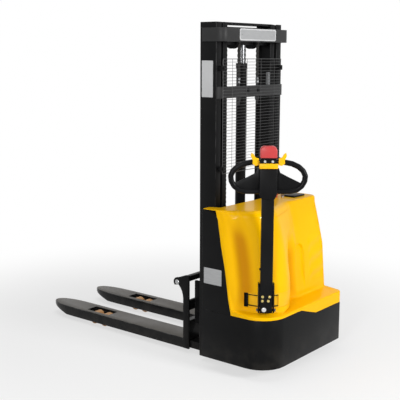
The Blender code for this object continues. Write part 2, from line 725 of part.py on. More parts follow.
# ---------------------------------------------------------------- chassis
def skirt_path(inset, count=7):
    rear = CHASSIS_REAR + inset
    half = CHASSIS_HALF_WIDTH - inset
    big = CORNER_LEFT - inset
    small = CORNER_RIGHT - inset
    left = arc(rear + big, half - big, big, 90, 180, count)
    right = arc(rear + small, -half + small, small, 180, 270, 4)
    return [(CHASSIS_FRONT, half)] + left + right + [(CHASSIS_FRONT, -half)]


def chassis_skirt():
    loop = skirt_path(0.0) + list(reversed(skirt_path(SKIRT_WALL)))
    skirt = outline("chassis_skirt", loop, "XY", SKIRT_BOTTOM, SKIRT_TOP_LEFT, BLACK_PAINT, FRAME)
    step = [(-1.0, SKIRT_TOP_RIGHT), (SKIRT_STEP[1], SKIRT_TOP_RIGHT), (SKIRT_STEP[0], SKIRT_TOP_LEFT),
            (SKIRT_STEP[0], SKIRT_TOP_LEFT + 0.1), (-1.0, SKIRT_TOP_LEFT + 0.1)]
    cut(skirt, outline("skirt_step", step, "YZ", CHASSIS_REAR - 0.1, 0.1, None, FRAME, cutter=True))


PANEL_EDGE = [(0.3545, -0.279), (0.431, -0.262), (0.595, -0.238), (0.720, -0.211), (0.872, -0.186),
              (0.8976, -0.169)]   # height and X of the side panel's rear edge


def side_panels():
    for side, s in SIDES:
        low = (SKIRT_TOP_LEFT if s > 0 else SKIRT_TOP_RIGHT) + GAP
        points = [(CHASSIS_FRONT, low), (CHASSIS_FRONT, 0.916)]
        points += [(x, z) for z, x in reversed(PANEL_EDGE)]
        points.append((PANEL_EDGE[0][1], low))
        y_out = s * CHASSIS_HALF_WIDTH
        y_in = s * (CHASSIS_HALF_WIDTH - SKIRT_WALL)
        panel = outline("side_panel_" + side, points, "XZ", min(y_out, y_in), max(y_out, y_in),
                        BLACK_PAINT, FRAME)
        bevel(panel, 0.0015, 1)


BEARING_RADIUS = 0.085


def chassis_deck():
    inset = SKIRT_WALL + GAP
    path = skirt_path(inset)
    path = [(BULKHEAD_REAR - GAP, path[0][1])] + path[1:-1] + [(BULKHEAD_REAR - GAP, path[-1][1])]
    hole = arc(STEER_X, STEER_Y, BEARING_RADIUS + RUN, 0, 345, 23)
    deck = outline("chassis_deck", [path, hole], "XY", DECK_HEIGHT, DECK_TOP, BLACK_PAINT, FRAME)
    post = cylinder("caster_housing", 0.032, "Z", (CASTER_X, CASTER_Y, DECK_HEIGHT - 0.030), 0.065,
                    BLACK_PAINT,
                    FRAME, 24, cutter=True)
    weld(deck, post)


def bulkhead_plate():
    half = CHASSIS_HALF_WIDTH - SKIRT_WALL - GAP
    box("bulkhead_plate", (BULKHEAD_REAR, -half, SKIRT_BOTTOM + 0.020), (BULKHEAD_FRONT, half, 0.880),
        BLACK_PAINT, FRAME)


# ---------------------------------------------------------------- hood
STOP_AT = (-0.190, -0.165)
STOP_STEM = 0.011
REAR_FACE = [(0.392, -0.4217), (0.466, -0.4150), (0.638, -0.4020), (0.770, -0.3700), (0.9126, -0.3330)]
FLANGE_TOP = 0.362
LEDGE_TOP = 0.374


def edge_x(z):
    return interpolate(PANEL_EDGE, z) - 0.0015


def blend(a, b, t):
    return tuple(p + (q - p) * t for p, q in zip(a, b))


def line(a, b, count, last=False):
    steps = count - 1 if last else count
    return [blend(a, b, i / steps) for i in range(count)]


NOSE_LEAN = [(0.500, 0.0), (0.655, 0.020), (0.775, 0.045), (0.872, 0.075), (0.903, 0.090)]
NOSE_TANGENT = 10            # from this point of the nose its right side flattens towards the rear panel
VALLEY = [(0.083, 0.003), (0.058, 0.013), (0.035, 0.030), (0.021, 0.046)]
RIGHT_VALLEY = [(0.046, 0.012), (0.030, 0.058), (0.001, 0.100)]
VALLEY_FADE = 0.60           # share of the left valley's depth that is gone at the top


def nose_section(z):
    """Section with the nose, which leans forward towards the top while its right side flattens out."""
    half = CHASSIS_HALF_WIDTH
    rear = interpolate(REAR_FACE, z)
    start = edge_x(z)
    lean = interpolate(NOSE_LEAN, z)
    shallow = VALLEY_FADE * smoothstep(0.70, 0.90, z)
    valley = [(STEER_X + lean + x, half - depth * (1 - shallow)) for x, depth in VALLEY]
    valley = [(min(x, start - 0.012 * (i + 1)), y) for i, (x, y) in enumerate(valley)]
    side_end = (min(lean + STEER_X + 0.096, start - 0.010), half)
    path = line((start, half), side_end, 3, last=True) + valley
    centre = STEER_X + lean
    flat = smoothstep(0.60, 0.78, z)
    right = []
    for i in range(15):
        angle = math.radians(100 - 168 * i / 14)
        right.append((centre - NOSE_RADIUS * math.cos(angle), STEER_Y + NOSE_RADIUS * math.sin(angle)))
    right += [(rear + x, NOSE_RIGHT - y) for x, y in RIGHT_VALLEY]
    tangent = right[NOSE_TANGENT]
    last = (rear, SKIRT_STEP[1])
    easy = line(tangent, last, len(right) - NOSE_TANGENT + 1, last=True)
    for i in range(NOSE_TANGENT, len(right)):
        right[i] = blend(right[i], easy[i - NOSE_TANGENT], flat)
    lift = [(x, y + (half - y) * 0.5 * shallow * (1 - i / 5)) if i < 5 else (x, y)
            for i, (x, y) in enumerate(right)]
    return path + lift + [last] + right_side(rear, SKIRT_STEP[1], half, start)


def right_side(rear, y_start, half, start):
    radius = CORNER_RIGHT
    path = line((rear, y_start), (rear, -half + radius), 5)[1:]
    path += arc(rear + radius, -half + radius, radius, 180, 270, 4)
    middle = (rear + radius + start) / 2
    return path + [(middle, -half), (start, -half)]


def round_section(rear, big, half, start):
    path = line((start, half), (max(rear + big, start - 0.25), half), 3, last=True)
    path += arc(rear + big, half - big, big, 90, 180, 19)[1:]
    step_high, step_low = SKIRT_STEP
    for y in ((half - big + step_high) / 2, step_high, (step_high + step_low) / 2, step_low):
        path.append((rear, y))
    return path + right_side(rear, step_low, half, start)


def hood_section(z):
    start = edge_x(z)
    if z <= FLANGE_TOP:
        section = round_section(CHASSIS_REAR + 0.001, CORNER_LEFT, CHASSIS_HALF_WIDTH, start)
    else:
        section = nose_section(z)
    return section


def front_edge(count):
    half = CHASSIS_HALF_WIDTH
    wing = MAST_HALF_WIDTH + 0.014
    corners = [(-0.090, half), (-0.090, wing + 0.010), (-0.150, wing - 0.010), (-0.150, -wing + 0.010),
               (-0.090, -wing - 0.010), (-0.090, -half)]
    lengths = [math.dist(a, b) for a, b in zip(corners, corners[1:])]
    total = sum(lengths)
    points = []
    for i in range(count):
        left = total * i / (count - 1)
        for a, b, length in zip(corners, corners[1:], lengths):
            if left <= length + 1e-9:
                points.append(blend(a, b, left / length))
                break
            left -= length
    return points


def rim_height(y):
    t = (y - SKIRT_STEP[1]) / (SKIRT_STEP[0] - SKIRT_STEP[1])
    t = min(1.0, max(0.0, t))
    return SKIRT_TOP_RIGHT + (SKIRT_TOP_LEFT - SKIRT_TOP_RIGHT) * t + 2 * GAP


HOOD_LEVELS = [FLANGE_TOP, 0.370, LEDGE_TOP, 0.500, 0.550, 0.655, 0.775, 0.825, 0.903]
HOOD_LEVELS = sorted(HOOD_LEVELS + [z for z, x in PANEL_EDGE if z > LEDGE_TOP])


def hood_rows():
    flange = hood_section(FLANGE_TOP)
    rows = [[(x, y, rim_height(y)) for x, y in hood_section(SKIRT_TOP_RIGHT)]]
    body = hood_section(LEDGE_TOP)
    for z in HOOD_LEVELS:
        if z <= FLANGE_TOP:
            section = flange
        elif z < LEDGE_TOP:
            section = [blend(a, b, 0.30) for a, b in zip(flange, body)]
        else:
            section = hood_section(z)
        rows.append([(x, y, z) for x, y in section])
    top = [(x, y) for x, y, z in rows[-1]]
    front = front_edge(len(top))
    for share, z in ((0.05, 0.914), (0.16, HOOD_TOP - 0.001), (0.40, HOOD_TOP), (0.70, HOOD_TOP),
                     (1.0, HOOD_TOP)):
        rows.append([(*blend(a, b, share), z) for a, b in zip(top, front)])
    return rows


def hood_cover():
    rows = hood_rows()
    width = len(rows[0])
    verts = [p for row in rows for p in row]
    faces = []
    for r in range(len(rows) - 1):
        for c in range(width - 1):
            a = r * width + c
            faces.append((a, a + 1, a + width + 1, a + width))
    mesh = bpy.data.meshes.new("hood_cover")
    mesh.from_pydata(verts, [], faces)
    hood = mesh_object("hood_cover", mesh, YELLOW, FRAME)
    shell = hood.modifiers.new("wall", "SOLIDIFY")
    shell.thickness = HOOD_WALL
    shell.offset = -1.0
    shell.use_even_offset = True
    sweep = [math.radians(SLOT_ANGLE * (2 * i / 24 - 1)) for i in range(25)]
    near = NOSE_RADIUS - 0.030
    far = NOSE_RADIUS + 0.040
    loop = [(STEER_X - far * math.cos(a), STEER_Y + far * math.sin(a)) for a in sweep]
    loop += [(STEER_X - near * math.cos(a), STEER_Y + near * math.sin(a)) for a in reversed(sweep)]
    cut(hood, outline("tiller_slot", loop, "XY", SLOT_LOW, SLOT_HIGH, None, FRAME, cutter=True))
    cut(hood, cylinder("stop_hole", STOP_STEM + RUN, "Z", (*STOP_AT, HOOD_TOP), 0.05, None, FRAME, 24,
                       cutter=True))
    smooth(mesh, 40)


PANEL_X = (-0.292, -0.205)
PANEL_Y = (-0.330, -0.215)


def control_panel():
    plate = box("control_panel", (PANEL_X[0], PANEL_Y[0], HOOD_TOP + GAP), (PANEL_X[1], PANEL_Y[1],
                HOOD_TOP + 0.010), BLACK_PLASTIC, FRAME)
    bevel(plate, 0.003, 2)


def emergency_stop():
    x, y = STOP_AT
    axis = pivot("emergency_stop_axis", (x, y, HOOD_TOP), 0.0, FRAME)
    profile = [(0.0, 0.030), (0.016, 0.030), (0.020, 0.026), (0.020, 0.016), (STOP_STEM, 0.014),
               (STOP_STEM, -0.014), (0.0, -0.014)]
    turned("emergency_stop", profile, "Z", (0, 0, 0), RED, axis, 24)


KEY_AT = (-0.225, -0.190)


def key_switch():
    x, y = KEY_AT
    axis = pivot("key_switch_axis", (x, y, HOOD_TOP), 0.0, FRAME)
    barrel = cylinder("key_switch", 0.010, "Z", (0, 0, 0.005), 0.009, STEEL, axis, 20)
    grip = box("key_grip", (-0.010, -0.0015, 0.007), (0.010, 0.0015, 0.026), BLACK_PLASTIC, axis,
               cutter=True)
    weld(barrel, grip)


# ---------------------------------------------------------------- inside the hood
def battery_pack():
    side = -CHASSIS_HALF_WIDTH + 0.017
    inner = NOSE_RIGHT - 0.088
    case = box("battery_pack", (-0.372, side, DECK_TOP + GAP), (-0.172, inner, 0.560), BATTERY_CASE,
               FRAME)
    pitch = (inner - side - 0.090) / 3
    for k in range(4):
        y = side + 0.045 + k * pitch
        post = cylinder("battery_post_%d" % k, 0.010, "Z", (-0.210, y, 0.562), 0.024, STEEL, FRAME, 12,
                        cutter=True)
        weld(case, post)


def hydraulic_unit():
    front = BULKHEAD_REAR - GAP
    block = box("hydraulic_unit", (front - 0.070, 0.060, 0.620),
                (front, CHASSIS_HALF_WIDTH - 0.242, 0.720), MOTOR_GREY, FRAME)
    motor = cylinder("pump_motor", 0.052, "Y", (front - 0.070, CHASSIS_HALF_WIDTH - 0.152, 0.670), 0.200,
                     MOTOR_GREY, FRAME,
                     24,
                     cutter=True)
    tank = box("oil_tank", (front - 0.100, -0.120, 0.610), (front, 0.062, 0.760), MOTOR_GREY, FRAME,
               cutter=True)
    weld(block, motor, tank)


def motor_controller():
    front = BULKHEAD_REAR - GAP
    side = -CHASSIS_HALF_WIDTH + 0.042
    box("motor_controller", (front - 0.050, side, 0.600), (front, side + 0.170, 0.780), BLACK_PLASTIC, FRAME)


# ---------------------------------------------------------------- drive unit and steering
MOTOR_RADIUS = 0.070


def drive_unit():
    # Local frame of the steering axis: x along the wheel's axle, y towards the mast, z up.
    neck_top = DECK_TOP + 0.012
    flange_top = DECK_HEIGHT - RUN
    flange_low = flange_top - 0.022
    housing = cylinder("drive_gearbox", BEARING_RADIUS - 0.005, "Z",
                       (0, 0, (flange_low + 0.005 + neck_top) / 2),
                       neck_top - flange_low - 0.005, MOTOR_GREY, STEER, 28)
    flange = cylinder("bearing_flange", BEARING_RADIUS + 0.020, "Z",
                      (0, 0, (flange_top + flange_low) / 2),
                      flange_top - flange_low, MOTOR_GREY, STEER, 28, cutter=True)
    inner = DRIVE_WHEEL_WIDTH / 2 + 0.006
    case_top = flange_low + 0.005
    case = [(-0.050, case_top)] + arc(0, DRIVE_WHEEL_RADIUS, 0.055, 180, 360, 10) + [(0.050, case_top)]
    side = outline("gear_case", case, "YZ", inner, inner + 0.045, MOTOR_GREY, STEER, cutter=True)
    axle = cylinder("drive_axle", 0.014, "X", (0.005, 0, DRIVE_WHEEL_RADIUS), 0.080, STEEL, STEER, 16,
                    cutter=True)
    weld(housing, flange, side, axle)
    r = MOTOR_RADIUS
    profile = [(0.0, 0.470), (r - 0.030, 0.470), (r - 0.008, 0.462), (r, 0.440), (r, neck_top + GAP),
               (0.0, neck_top + GAP)]
    turned("drive_motor", profile, "Z", (0, 0, 0), MOTOR_GREY, STEER, 32)


DRUM_RADIUS = NOSE_RADIUS - RUN
DRUM_INNER = NOSE_RADIUS - 0.012
DRUM_GAP = 0.001             # running gap above and below the drum in the cover's opening
RECESS_FLOOR = NOSE_RADIUS - 0.006
RECESS_EDGE = 0.006          # the recess keeps this much of the drum above and below
RECESS_ANGLES = (-29.3, 46.7)  # degrees from the tiller, to its right and to its left


def drum_sector(near, far, start, end, count):
    """Outline of a ring sector in the steering frame, angles measured to the left of the tiller."""
    angles = [math.radians(start + (end - start) * i / count) for i in range(count + 1)]
    points = [(-far * math.sin(a), -far * math.cos(a)) for a in angles]
    return points + [(-near * math.sin(a), -near * math.cos(a)) for a in reversed(angles)]


def steering_drum():
    outer = arc(0, 0, DRUM_RADIUS, 0, 352.5, 47)
    inner = arc(0, 0, DRUM_INNER, 0, 352.5, 47)
    low = SLOT_LOW + DRUM_GAP
    high = SLOT_HIGH - DRUM_GAP
    ring = outline("steering_drum", [outer, inner], "XY", low, high, YELLOW_TRIM, STEER)
    for k in range(3):
        angle = math.radians(90 + 120 * k)
        spoke = box("drum_spoke_%d" % k, (0.0675, -0.008, low + 0.001),
                    (DRUM_INNER + 0.002, 0.008, low + 0.009),
                    YELLOW_TRIM, STEER, cutter=True)
        spoke.location = Matrix.Rotation(angle, 3, "Z") @ Vector(spoke.location)
        spoke.rotation_euler = (0, 0, angle)
        weld(ring, spoke)
    recess = drum_sector(RECESS_FLOOR, NOSE_RADIUS + 0.02, *RECESS_ANGLES, 12)
    cut(ring, outline("drum_recess", recess, "XY", low + RECESS_EDGE, high - RECESS_EDGE, None, STEER,
                      cutter=True))
    cut(ring, cylinder("motor_room", MOTOR_RADIUS + GAP, "Z", (0, 0, 0.43), 0.2, None, STEER, 32,
                       cutter=True))


CHEEK_HALF = 0.0430
CHEEK_WALL = 0.006
BRACKET_TOP = 0.546
BRACKET_LOW = 0.384
PIN_RADIUS = 0.0075


def tiller_bracket():
    web_y = -(RECESS_FLOOR + GAP)
    face = NOSE_RADIUS + 0.0035
    web = box("tiller_bracket", (-0.030, -(face + 0.004), SLOT_LOW + 0.014),
              (0.030, web_y, SLOT_HIGH - 0.012),
              BLACK_PAINT, STEER)
    back = box("bracket_back", (-CHEEK_HALF + 0.001, -(face + 0.0045), SLOT_LOW + 0.016),
               (CHEEK_HALF - 0.001, -face, BRACKET_TOP - 0.010), BLACK_PAINT, STEER, cutter=True)
    weld(web, back)
    reach = TILLER_REACH
    for side, s in SIDES:
        xa = s * CHEEK_HALF
        xb = s * (CHEEK_HALF - CHEEK_WALL)
        points = [(-(face), BRACKET_TOP), (-(face), BRACKET_LOW + 0.016)]
        points += arc(-reach, TILLER_PIVOT_HEIGHT, 0.0165, -30, -165, 7)
        points += [(-(reach + 0.016), BRACKET_TOP - 0.020), (-(reach + 0.004), BRACKET_TOP)]
        cheek = outline("bracket_cheek_" + side, points, "YZ", min(xa, xb), max(xa, xb), BLACK_PAINT,
                        STEER,
                        cutter=True)
        weld(web, cheek)
    pin = cylinder("tiller_pivot_pin", PIN_RADIUS, "X", (0, -reach, TILLER_PIVOT_HEIGHT),
                   2 * CHEEK_HALF + 0.010,
                   CHROME, STEER, 16, cutter=True)
    weld(web, pin)


def drive_wheel():
    axis = pivot("drive_wheel_axis", (0, 0, DRIVE_WHEEL_RADIUS), 0.0, STEER)
    rim = DRIVE_WHEEL_RADIUS - 0.022
    half = DRIVE_WHEEL_WIDTH / 2
    hub = [(0.0143, half - 0.006), (rim, half - 0.006), (rim, -half + 0.006), (0.0143, -half + 0.006)]
    hub_obj = turned("drive_hub", hub, "X", (0, 0, 0), STEEL, axis, 36)
    for k in range(5):
        angle = math.radians(72 * k)
        hole = cylinder("hub_hole_%d" % k, 0.012, "X", (0, 0.055 * math.cos(angle),
                                                        0.055 * math.sin(angle)), 0.1,
                        None, axis, 12, cutter=True)
        cut(hub_obj, hole)
    turned("drive_tyre", wheel_profile(DRIVE_WHEEL_RADIUS, DRIVE_WHEEL_WIDTH, rim + GAP, 0.006), "X",
           (0, 0, 0),
           TYRE, axis, 36)


# ---------------------------------------------------------------- stabilising caster
def caster():
    swivel_top = DECK_HEIGHT - 0.0625 - GAP
    crown = box("caster_fork", (-0.030, -0.040, swivel_top - 0.010), (0.055, 0.040, swivel_top), STEEL,
                CASTER)
    for side, s in SIDES:
        ya = s * 0.036
        yb = s * 0.031
        points = [(-0.024, swivel_top - 0.004), (0.052, swivel_top - 0.004)]
        points += arc(CASTER_TRAIL, CASTER_WHEEL_RADIUS, 0.018, 0, -180, 8)
        leg = outline("caster_leg_" + side, points, "XZ", min(ya, yb), max(ya, yb), STEEL, CASTER,
                      cutter=True)
        weld(crown, leg)
    axle = cylinder("caster_axle", 0.007, "Y", (CASTER_TRAIL, 0, CASTER_WHEEL_RADIUS), 0.068, STEEL,
                    CASTER, 12,
                    cutter=True)
    weld(crown, axle)
    axis = pivot("caster_wheel_axis", (CASTER_TRAIL, 0, CASTER_WHEEL_RADIUS), 0.0, CASTER)
    turned("caster_wheel", wheel_profile(CASTER_WHEEL_RADIUS, CASTER_WHEEL_WIDTH, 0.0073, 0.006), "Y",
           (0, 0, 0),
           TYRE, axis, 28)


# ---------------------------------------------------------------- tiller
# Local frame of the tiller pivot: x to the right as the operator sees it, y towards the truck, z up.
def local_z(height):
    return height - TILLER_PIVOT_HEIGHT


def tiller_arm():
    half = ARM_DEPTH / 2
    points = arc(0, 0, half, 180, 360, 8) + [(half, local_z(ARM_TOP)), (-half, local_z(ARM_TOP))]
    hole = arc(0, 0, PIN_RADIUS + 0.0003, 0, 330, 11)
    arm = outline("tiller_arm", [points, hole], "YZ", -ARM_WIDTH / 2, ARM_WIDTH / 2, BLACK_PAINT, TILLER)
    return arm


NECK_DEPTH = 0.050
TRIM_HIGH = 1.196
STRIP_HIGH = 1.217
CAP_LOW = 1.2235              # the red cap travels down towards the strip
CAP_HALF = 0.044
CAP_WALL = 0.004
CAP_Y = (-0.031, 0.021)
BUTTON_Z = 1.2065
BUTTON_RADIUS = 0.0065
HEAD_SPLIT_Y = -0.002        # trim and button strip lie in front of this, the spine behind it
LOOP_Y = 0.010               # the loop lies a little behind the neck's middle
LOOP_DEPTH = 0.026
PADDLE_Y = -0.014
PADDLE_Z = 1.2035
PADDLE_SHAFT = 0.004
PADDLE_SWING = math.radians(30)
# the paddles' lower ends swing back and stop just short of the handle's face
PADDLE_LOW = PADDLE_Z - (LOOP_Y - LOOP_DEPTH / 2 - PADDLE_Y - 2 * GAP) / math.sin(PADDLE_SWING)


def loop_outer():
    """Half outline of the handle from its top joint round to its lower web, x and height."""
    return [(0.040, 1.214), (0.085, 1.212), (0.125, 1.204), (0.165, 1.187), (0.193, 1.165),
            (0.2085, 1.143),
            (LOOP_HALF_WIDTH, 1.122), (0.208, 1.098), (0.194, 1.074), (0.172, 1.052), (0.140, 1.036),
            (0.095, 1.029),
            (0.040, 1.030)]


def loop_window():
    return [(0.066, 1.176), (0.100, 1.173), (0.138, 1.164), (0.163, 1.147), (0.175, 1.128),
            (0.172, 1.108),
            (0.158, 1.095), (0.142, 1.096), (0.110, 1.118), (0.066, 1.142)]


def tiller_head():
    half = NECK_WIDTH / 2
    top = local_z(NECK_TOP)
    low = local_z(ARM_TOP)
    points = [(-ARM_WIDTH / 2, low + GAP), (ARM_WIDTH / 2, low + GAP), (half, low + 0.030), (half, top),
              (-half, top),
              (-half, low + 0.030)]
    head = outline("tiller_head", points, "XZ", -NECK_DEPTH / 2, NECK_DEPTH / 2, BLACK_PLASTIC, TILLER)
    bevel(head, 0.004, 1)
    spine = box("head_spine", (-half + 0.002, HEAD_SPLIT_Y + GAP, top - 0.010), (half - 0.002, 0.024,
                local_z(STRIP_HIGH)), BLACK_PLASTIC, TILLER, cutter=True)
    right = loop_outer()
    outer = [(x, local_z(z)) for x, z in right + [(-x, z) for x, z in reversed(right)]]
    holes = [[(s * x, local_z(z)) for x, z in loop_window()] for s in (1, -1)]
    loop = outline("handle_loop", [outer] + holes, "XZ", LOOP_Y - LOOP_DEPTH / 2, LOOP_Y + LOOP_DEPTH / 2,
                   BLACK_PLASTIC, TILLER, cutter=True)
    room = box("trim_room", (-half - 0.0023, -0.1, top), (half + 0.0023, HEAD_SPLIT_Y + GAP,
               local_z(STRIP_HIGH) + GAP), None, TILLER, cutter=True)
    inset = CAP_WALL + 0.001
    post = box("cap_post", (-CAP_HALF + inset, CAP_Y[0] + inset, local_z(STRIP_HIGH) + GAP),
               (CAP_HALF - inset, CAP_Y[1] - inset, local_z(HEAD_TOP - 0.016)), BLACK_PLASTIC, TILLER,
               cutter=True)
    overlap = box("spine_top", (-CAP_HALF + inset, 0.002, local_z(STRIP_HIGH) - 0.002),
                  (CAP_HALF - inset, CAP_Y[1] - inset - 0.001, local_z(STRIP_HIGH) + 0.003),
                  BLACK_PLASTIC, TILLER,
                  cutter=True)
    weld(head, spine, loop)
    cut(head, room)
    weld(head, overlap, post)


def head_trim():
    half = NECK_WIDTH / 2 + 0.002
    low = local_z(NECK_TOP) + GAP
    trim = box("head_trim", (-half, -0.033, low), (half, HEAD_SPLIT_Y, local_z(TRIM_HIGH)), YELLOW_TRIM,
               TILLER)
    bevel(trim, 0.003, 2)


def button_strip():
    half = NECK_WIDTH / 2
    strip = box("button_strip", (-half, -0.031, local_z(TRIM_HIGH) + GAP),
                (half, HEAD_SPLIT_Y, local_z(STRIP_HIGH)),
                BLACK_PLASTIC, TILLER)
    for s in (-1, 1):
        room = cylinder("button_room_%d" % s, BUTTON_RADIUS + GAP, "Y",
                        (s * 0.020, -0.0305, local_z(BUTTON_Z)),
                        0.020, None, TILLER, 16, cutter=True)
        cut(strip, room)
    bore = cylinder("paddle_bore", PADDLE_SHAFT + RUN, "X", (0, PADDLE_Y, local_z(PADDLE_Z)), 0.2, None,
                    TILLER,
                    16, cutter=True)
    cut(strip, bore)


def finger_buttons():
    for name, s in (("lift_button", -1), ("lower_button", 1)):
        axis = pivot(name + "_axis", (s * 0.020, -0.0310, local_z(BUTTON_Z)), 0.0, TILLER)
        cylinder(name, BUTTON_RADIUS, "Y", (0, 0.0015, 0), 0.009, LIGHT_GREY, axis, 16)


def belly_button():
    middle = (CAP_LOW + HEAD_TOP) / 2
    axis = pivot("belly_button_axis", (0, 0, local_z(middle)), 0.0, TILLER)
    half = CAP_HALF
    low = CAP_LOW - middle
    high = HEAD_TOP - middle
    points = [(-half, low), (half, low), (half, high - 0.020), (half - 0.006, high - 0.007),
              (half - 0.018, high)]
    points += [(-x, z) for x, z in reversed(points[2:])]
    button = outline("belly_button", points, "XZ", *CAP_Y, RED, axis)
    bevel(button, 0.005, 2)
    inside = box("cap_inside", (-half + CAP_WALL, CAP_Y[0] + CAP_WALL, low - 0.01),
                 (half - CAP_WALL, CAP_Y[1] - CAP_WALL, high - 0.009), None, axis, cutter=True)
    cut(button, inside)


def throttle_paddles():
    axis = pivot("throttle_axis", (0, PADDLE_Y, local_z(PADDLE_Z)), 0.0, TILLER)
    wing = [(0.0515, PADDLE_LOW + 0.003), (0.070, PADDLE_LOW), (0.084, 1.194), (0.083, 1.210), (0.094, 1.235),
            (0.090, 1.252),
            (0.078, 1.243), (0.068, 1.226), (0.0515, 1.222)]
    halves = []
    for side, s in SIDES:
        points = [(s * x, z - PADDLE_Z) for x, z in wing]
        halves.append(outline("throttle_paddles" if s > 0 else "paddle_right", points, "XZ", -0.008, 0.0,
                              YELLOW_TRIM, axis, cutter=s < 0))
    shaft = cylinder("paddle_shaft", PADDLE_SHAFT, "X", (0, 0, 0), 0.120, STEEL, axis, 12, cutter=True)
    weld(halves[0], shaft, halves[1])


# ---------------------------------------------------------------- assembly
def centre_on_floor():
    """Moves the truck so that the origin is below the middle of its box."""
    bpy.context.view_layer.update()
    graph = bpy.context.evaluated_depsgraph_get()
    low = Vector((1e9, 1e9, 1e9))
    high = -low
    for obj in PARTS.objects:
        evaluated = obj.evaluated_get(graph)
        mesh = evaluated.to_mesh()
        for vert in mesh.vertices:
            point = evaluated.matrix_world @ vert.co
            low = Vector(map(min, low, point))
            high = Vector(map(max, high, point))
        evaluated.to_mesh_clear()
    FRAME.location = (-(low.x + high.x) / 2, -(low.y + high.y) / 2, -low.z)
    bpy.context.view_layer.update()


MAST = pivot("mast_lift", (0, 0, 0), 0.0, FRAME)
CARRIAGE = pivot("carriage_lift", (0, 0, 0), 0.0, MAST)
STEER = pivot("steer_axis", (STEER_X, STEER_Y, 0), math.radians(270 - TILLER_REST_ANGLE), FRAME)
TILLER = pivot("tiller_tilt", (0, -TILLER_REACH, TILLER_PIVOT_HEIGHT), 0.0, STEER)
CASTER = pivot("caster_swivel", (CASTER_X, CASTER_Y, 0), 0.0, FRAME)

outer_rails()
outer_top_crossbar()
outer_mid_crossbeam()
mast_foot()
lift_cylinder()
mesh_guard()
inner_rails()
mast_rollers()
inner_top()
inner_foot()
piston_rod()
sheaves()
chains()
carriage()
carriage_rollers()
forks()
support_legs()
load_wheels()
chassis_skirt()
side_panels()
chassis_deck()
bulkhead_plate()
hood_cover()
control_panel()
emergency_stop()
key_switch()
battery_pack()
hydraulic_unit()
motor_controller()
drive_unit()
steering_drum()
tiller_bracket()
drive_wheel()
caster()
tiller_arm()
tiller_head()
head_trim()
button_strip()
finger_buttons()
belly_button()
throttle_paddles()
centre_on_floor()
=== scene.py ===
import json
import math

import bmesh
import bpy
from mathutils import Matrix, Quaternion, Vector


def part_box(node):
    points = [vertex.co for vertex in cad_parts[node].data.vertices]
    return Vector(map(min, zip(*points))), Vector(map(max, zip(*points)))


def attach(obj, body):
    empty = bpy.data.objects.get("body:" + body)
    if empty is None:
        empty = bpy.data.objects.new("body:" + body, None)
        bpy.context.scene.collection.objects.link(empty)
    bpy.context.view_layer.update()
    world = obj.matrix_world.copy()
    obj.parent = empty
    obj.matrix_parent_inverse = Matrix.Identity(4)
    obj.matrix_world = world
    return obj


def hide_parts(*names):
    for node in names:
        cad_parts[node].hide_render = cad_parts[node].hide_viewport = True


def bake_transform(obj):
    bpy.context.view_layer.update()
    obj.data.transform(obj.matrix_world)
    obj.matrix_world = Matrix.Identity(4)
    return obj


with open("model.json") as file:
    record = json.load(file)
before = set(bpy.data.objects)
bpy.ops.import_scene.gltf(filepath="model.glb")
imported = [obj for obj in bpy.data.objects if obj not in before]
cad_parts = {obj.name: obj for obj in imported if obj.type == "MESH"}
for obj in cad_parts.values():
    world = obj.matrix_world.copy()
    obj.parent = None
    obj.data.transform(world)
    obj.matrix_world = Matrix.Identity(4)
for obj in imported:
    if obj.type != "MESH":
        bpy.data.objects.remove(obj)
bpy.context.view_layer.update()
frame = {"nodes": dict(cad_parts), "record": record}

record = frame["record"]
bodyOf = {node: body for body, nodes in record["behaviour"]["bodies"].items() for node in nodes}
jointOf = {joint["name"]: joint for joint in record["behaviour"]["joints"]}
slotOf = {part["node"]: part["material_slot"] for part in record["subparts"]}
finishedNodes = set()

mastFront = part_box("outer_rail_left")[1][0]
mastMiddle = (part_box("outer_rail_left")[1][1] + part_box("outer_rail_right")[0][1]) / 2
railHalf = (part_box("outer_rail_left")[1][1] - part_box("outer_rail_right")[0][1]) / 2


def at(x, y, z):  # a place measured from the mast's front face, its middle and the floor
    return Vector((mastFront + x, mastMiddle + y, z))


# Finishes: small shader groups shared by every painted, moulded or metal surface


def feed(tree, socket, value):  # an output is linked to the socket, and a plain value is set on it
    if hasattr(value, "is_output"):
        tree.links.new(value, socket)
    else:
        socket.default_value = value


def addNode(tree, kind, sockets=None, **settings):
    node = tree.nodes.new(kind)
    for key, value in settings.items():
        setattr(node, key, value)
    for label, value in (sockets or {}).items():
        feed(tree, node.inputs[label], value)
    return node


def newTree(name, kind, inputs, outputs):  # a node group, with the sockets at its two ends
    tree = bpy.data.node_groups.new(name, kind)
    for way, rows in (("INPUT", inputs), ("OUTPUT", outputs)):
        for label, socketKind, *start in rows:
            socket = tree.interface.new_socket(name=label, in_out=way, socket_type="NodeSocket" + socketKind)
            if start:
                socket.default_value = start[0]
    return tree, tree.nodes.new("NodeGroupInput").outputs, tree.nodes.new("NodeGroupOutput").inputs


def mathNode(tree, operation, first, second, clamp=False):
    sockets = {0: first, 1: second}
    return addNode(tree, "ShaderNodeMath", sockets, operation=operation, use_clamp=clamp).outputs[0]


def times(tree, first, second):
    return mathNode(tree, "MULTIPLY", first, second)


def rangeNode(tree, value, low, high, toLow=0.0, toHigh=1.0, smooth=True):
    sockets = {"Value": value, "From Min": low, "From Max": high, "To Min": toLow, "To Max": toHigh}
    kind = "SMOOTHSTEP" if smooth else "LINEAR"
    return addNode(tree, "ShaderNodeMapRange", sockets, interpolation_type=kind).outputs["Result"]


def noise(tree, place, scale, detail=2.0, roughness=0.5):
    sockets = {"Vector": place, "Scale": scale, "Detail": detail, "Roughness": roughness}
    return addNode(tree, "ShaderNodeTexNoise", sockets).outputs["Fac"]


def upwardPart(tree, vector):
    return addNode(tree, "ShaderNodeSeparateXYZ", {0: vector}).outputs["Z"]


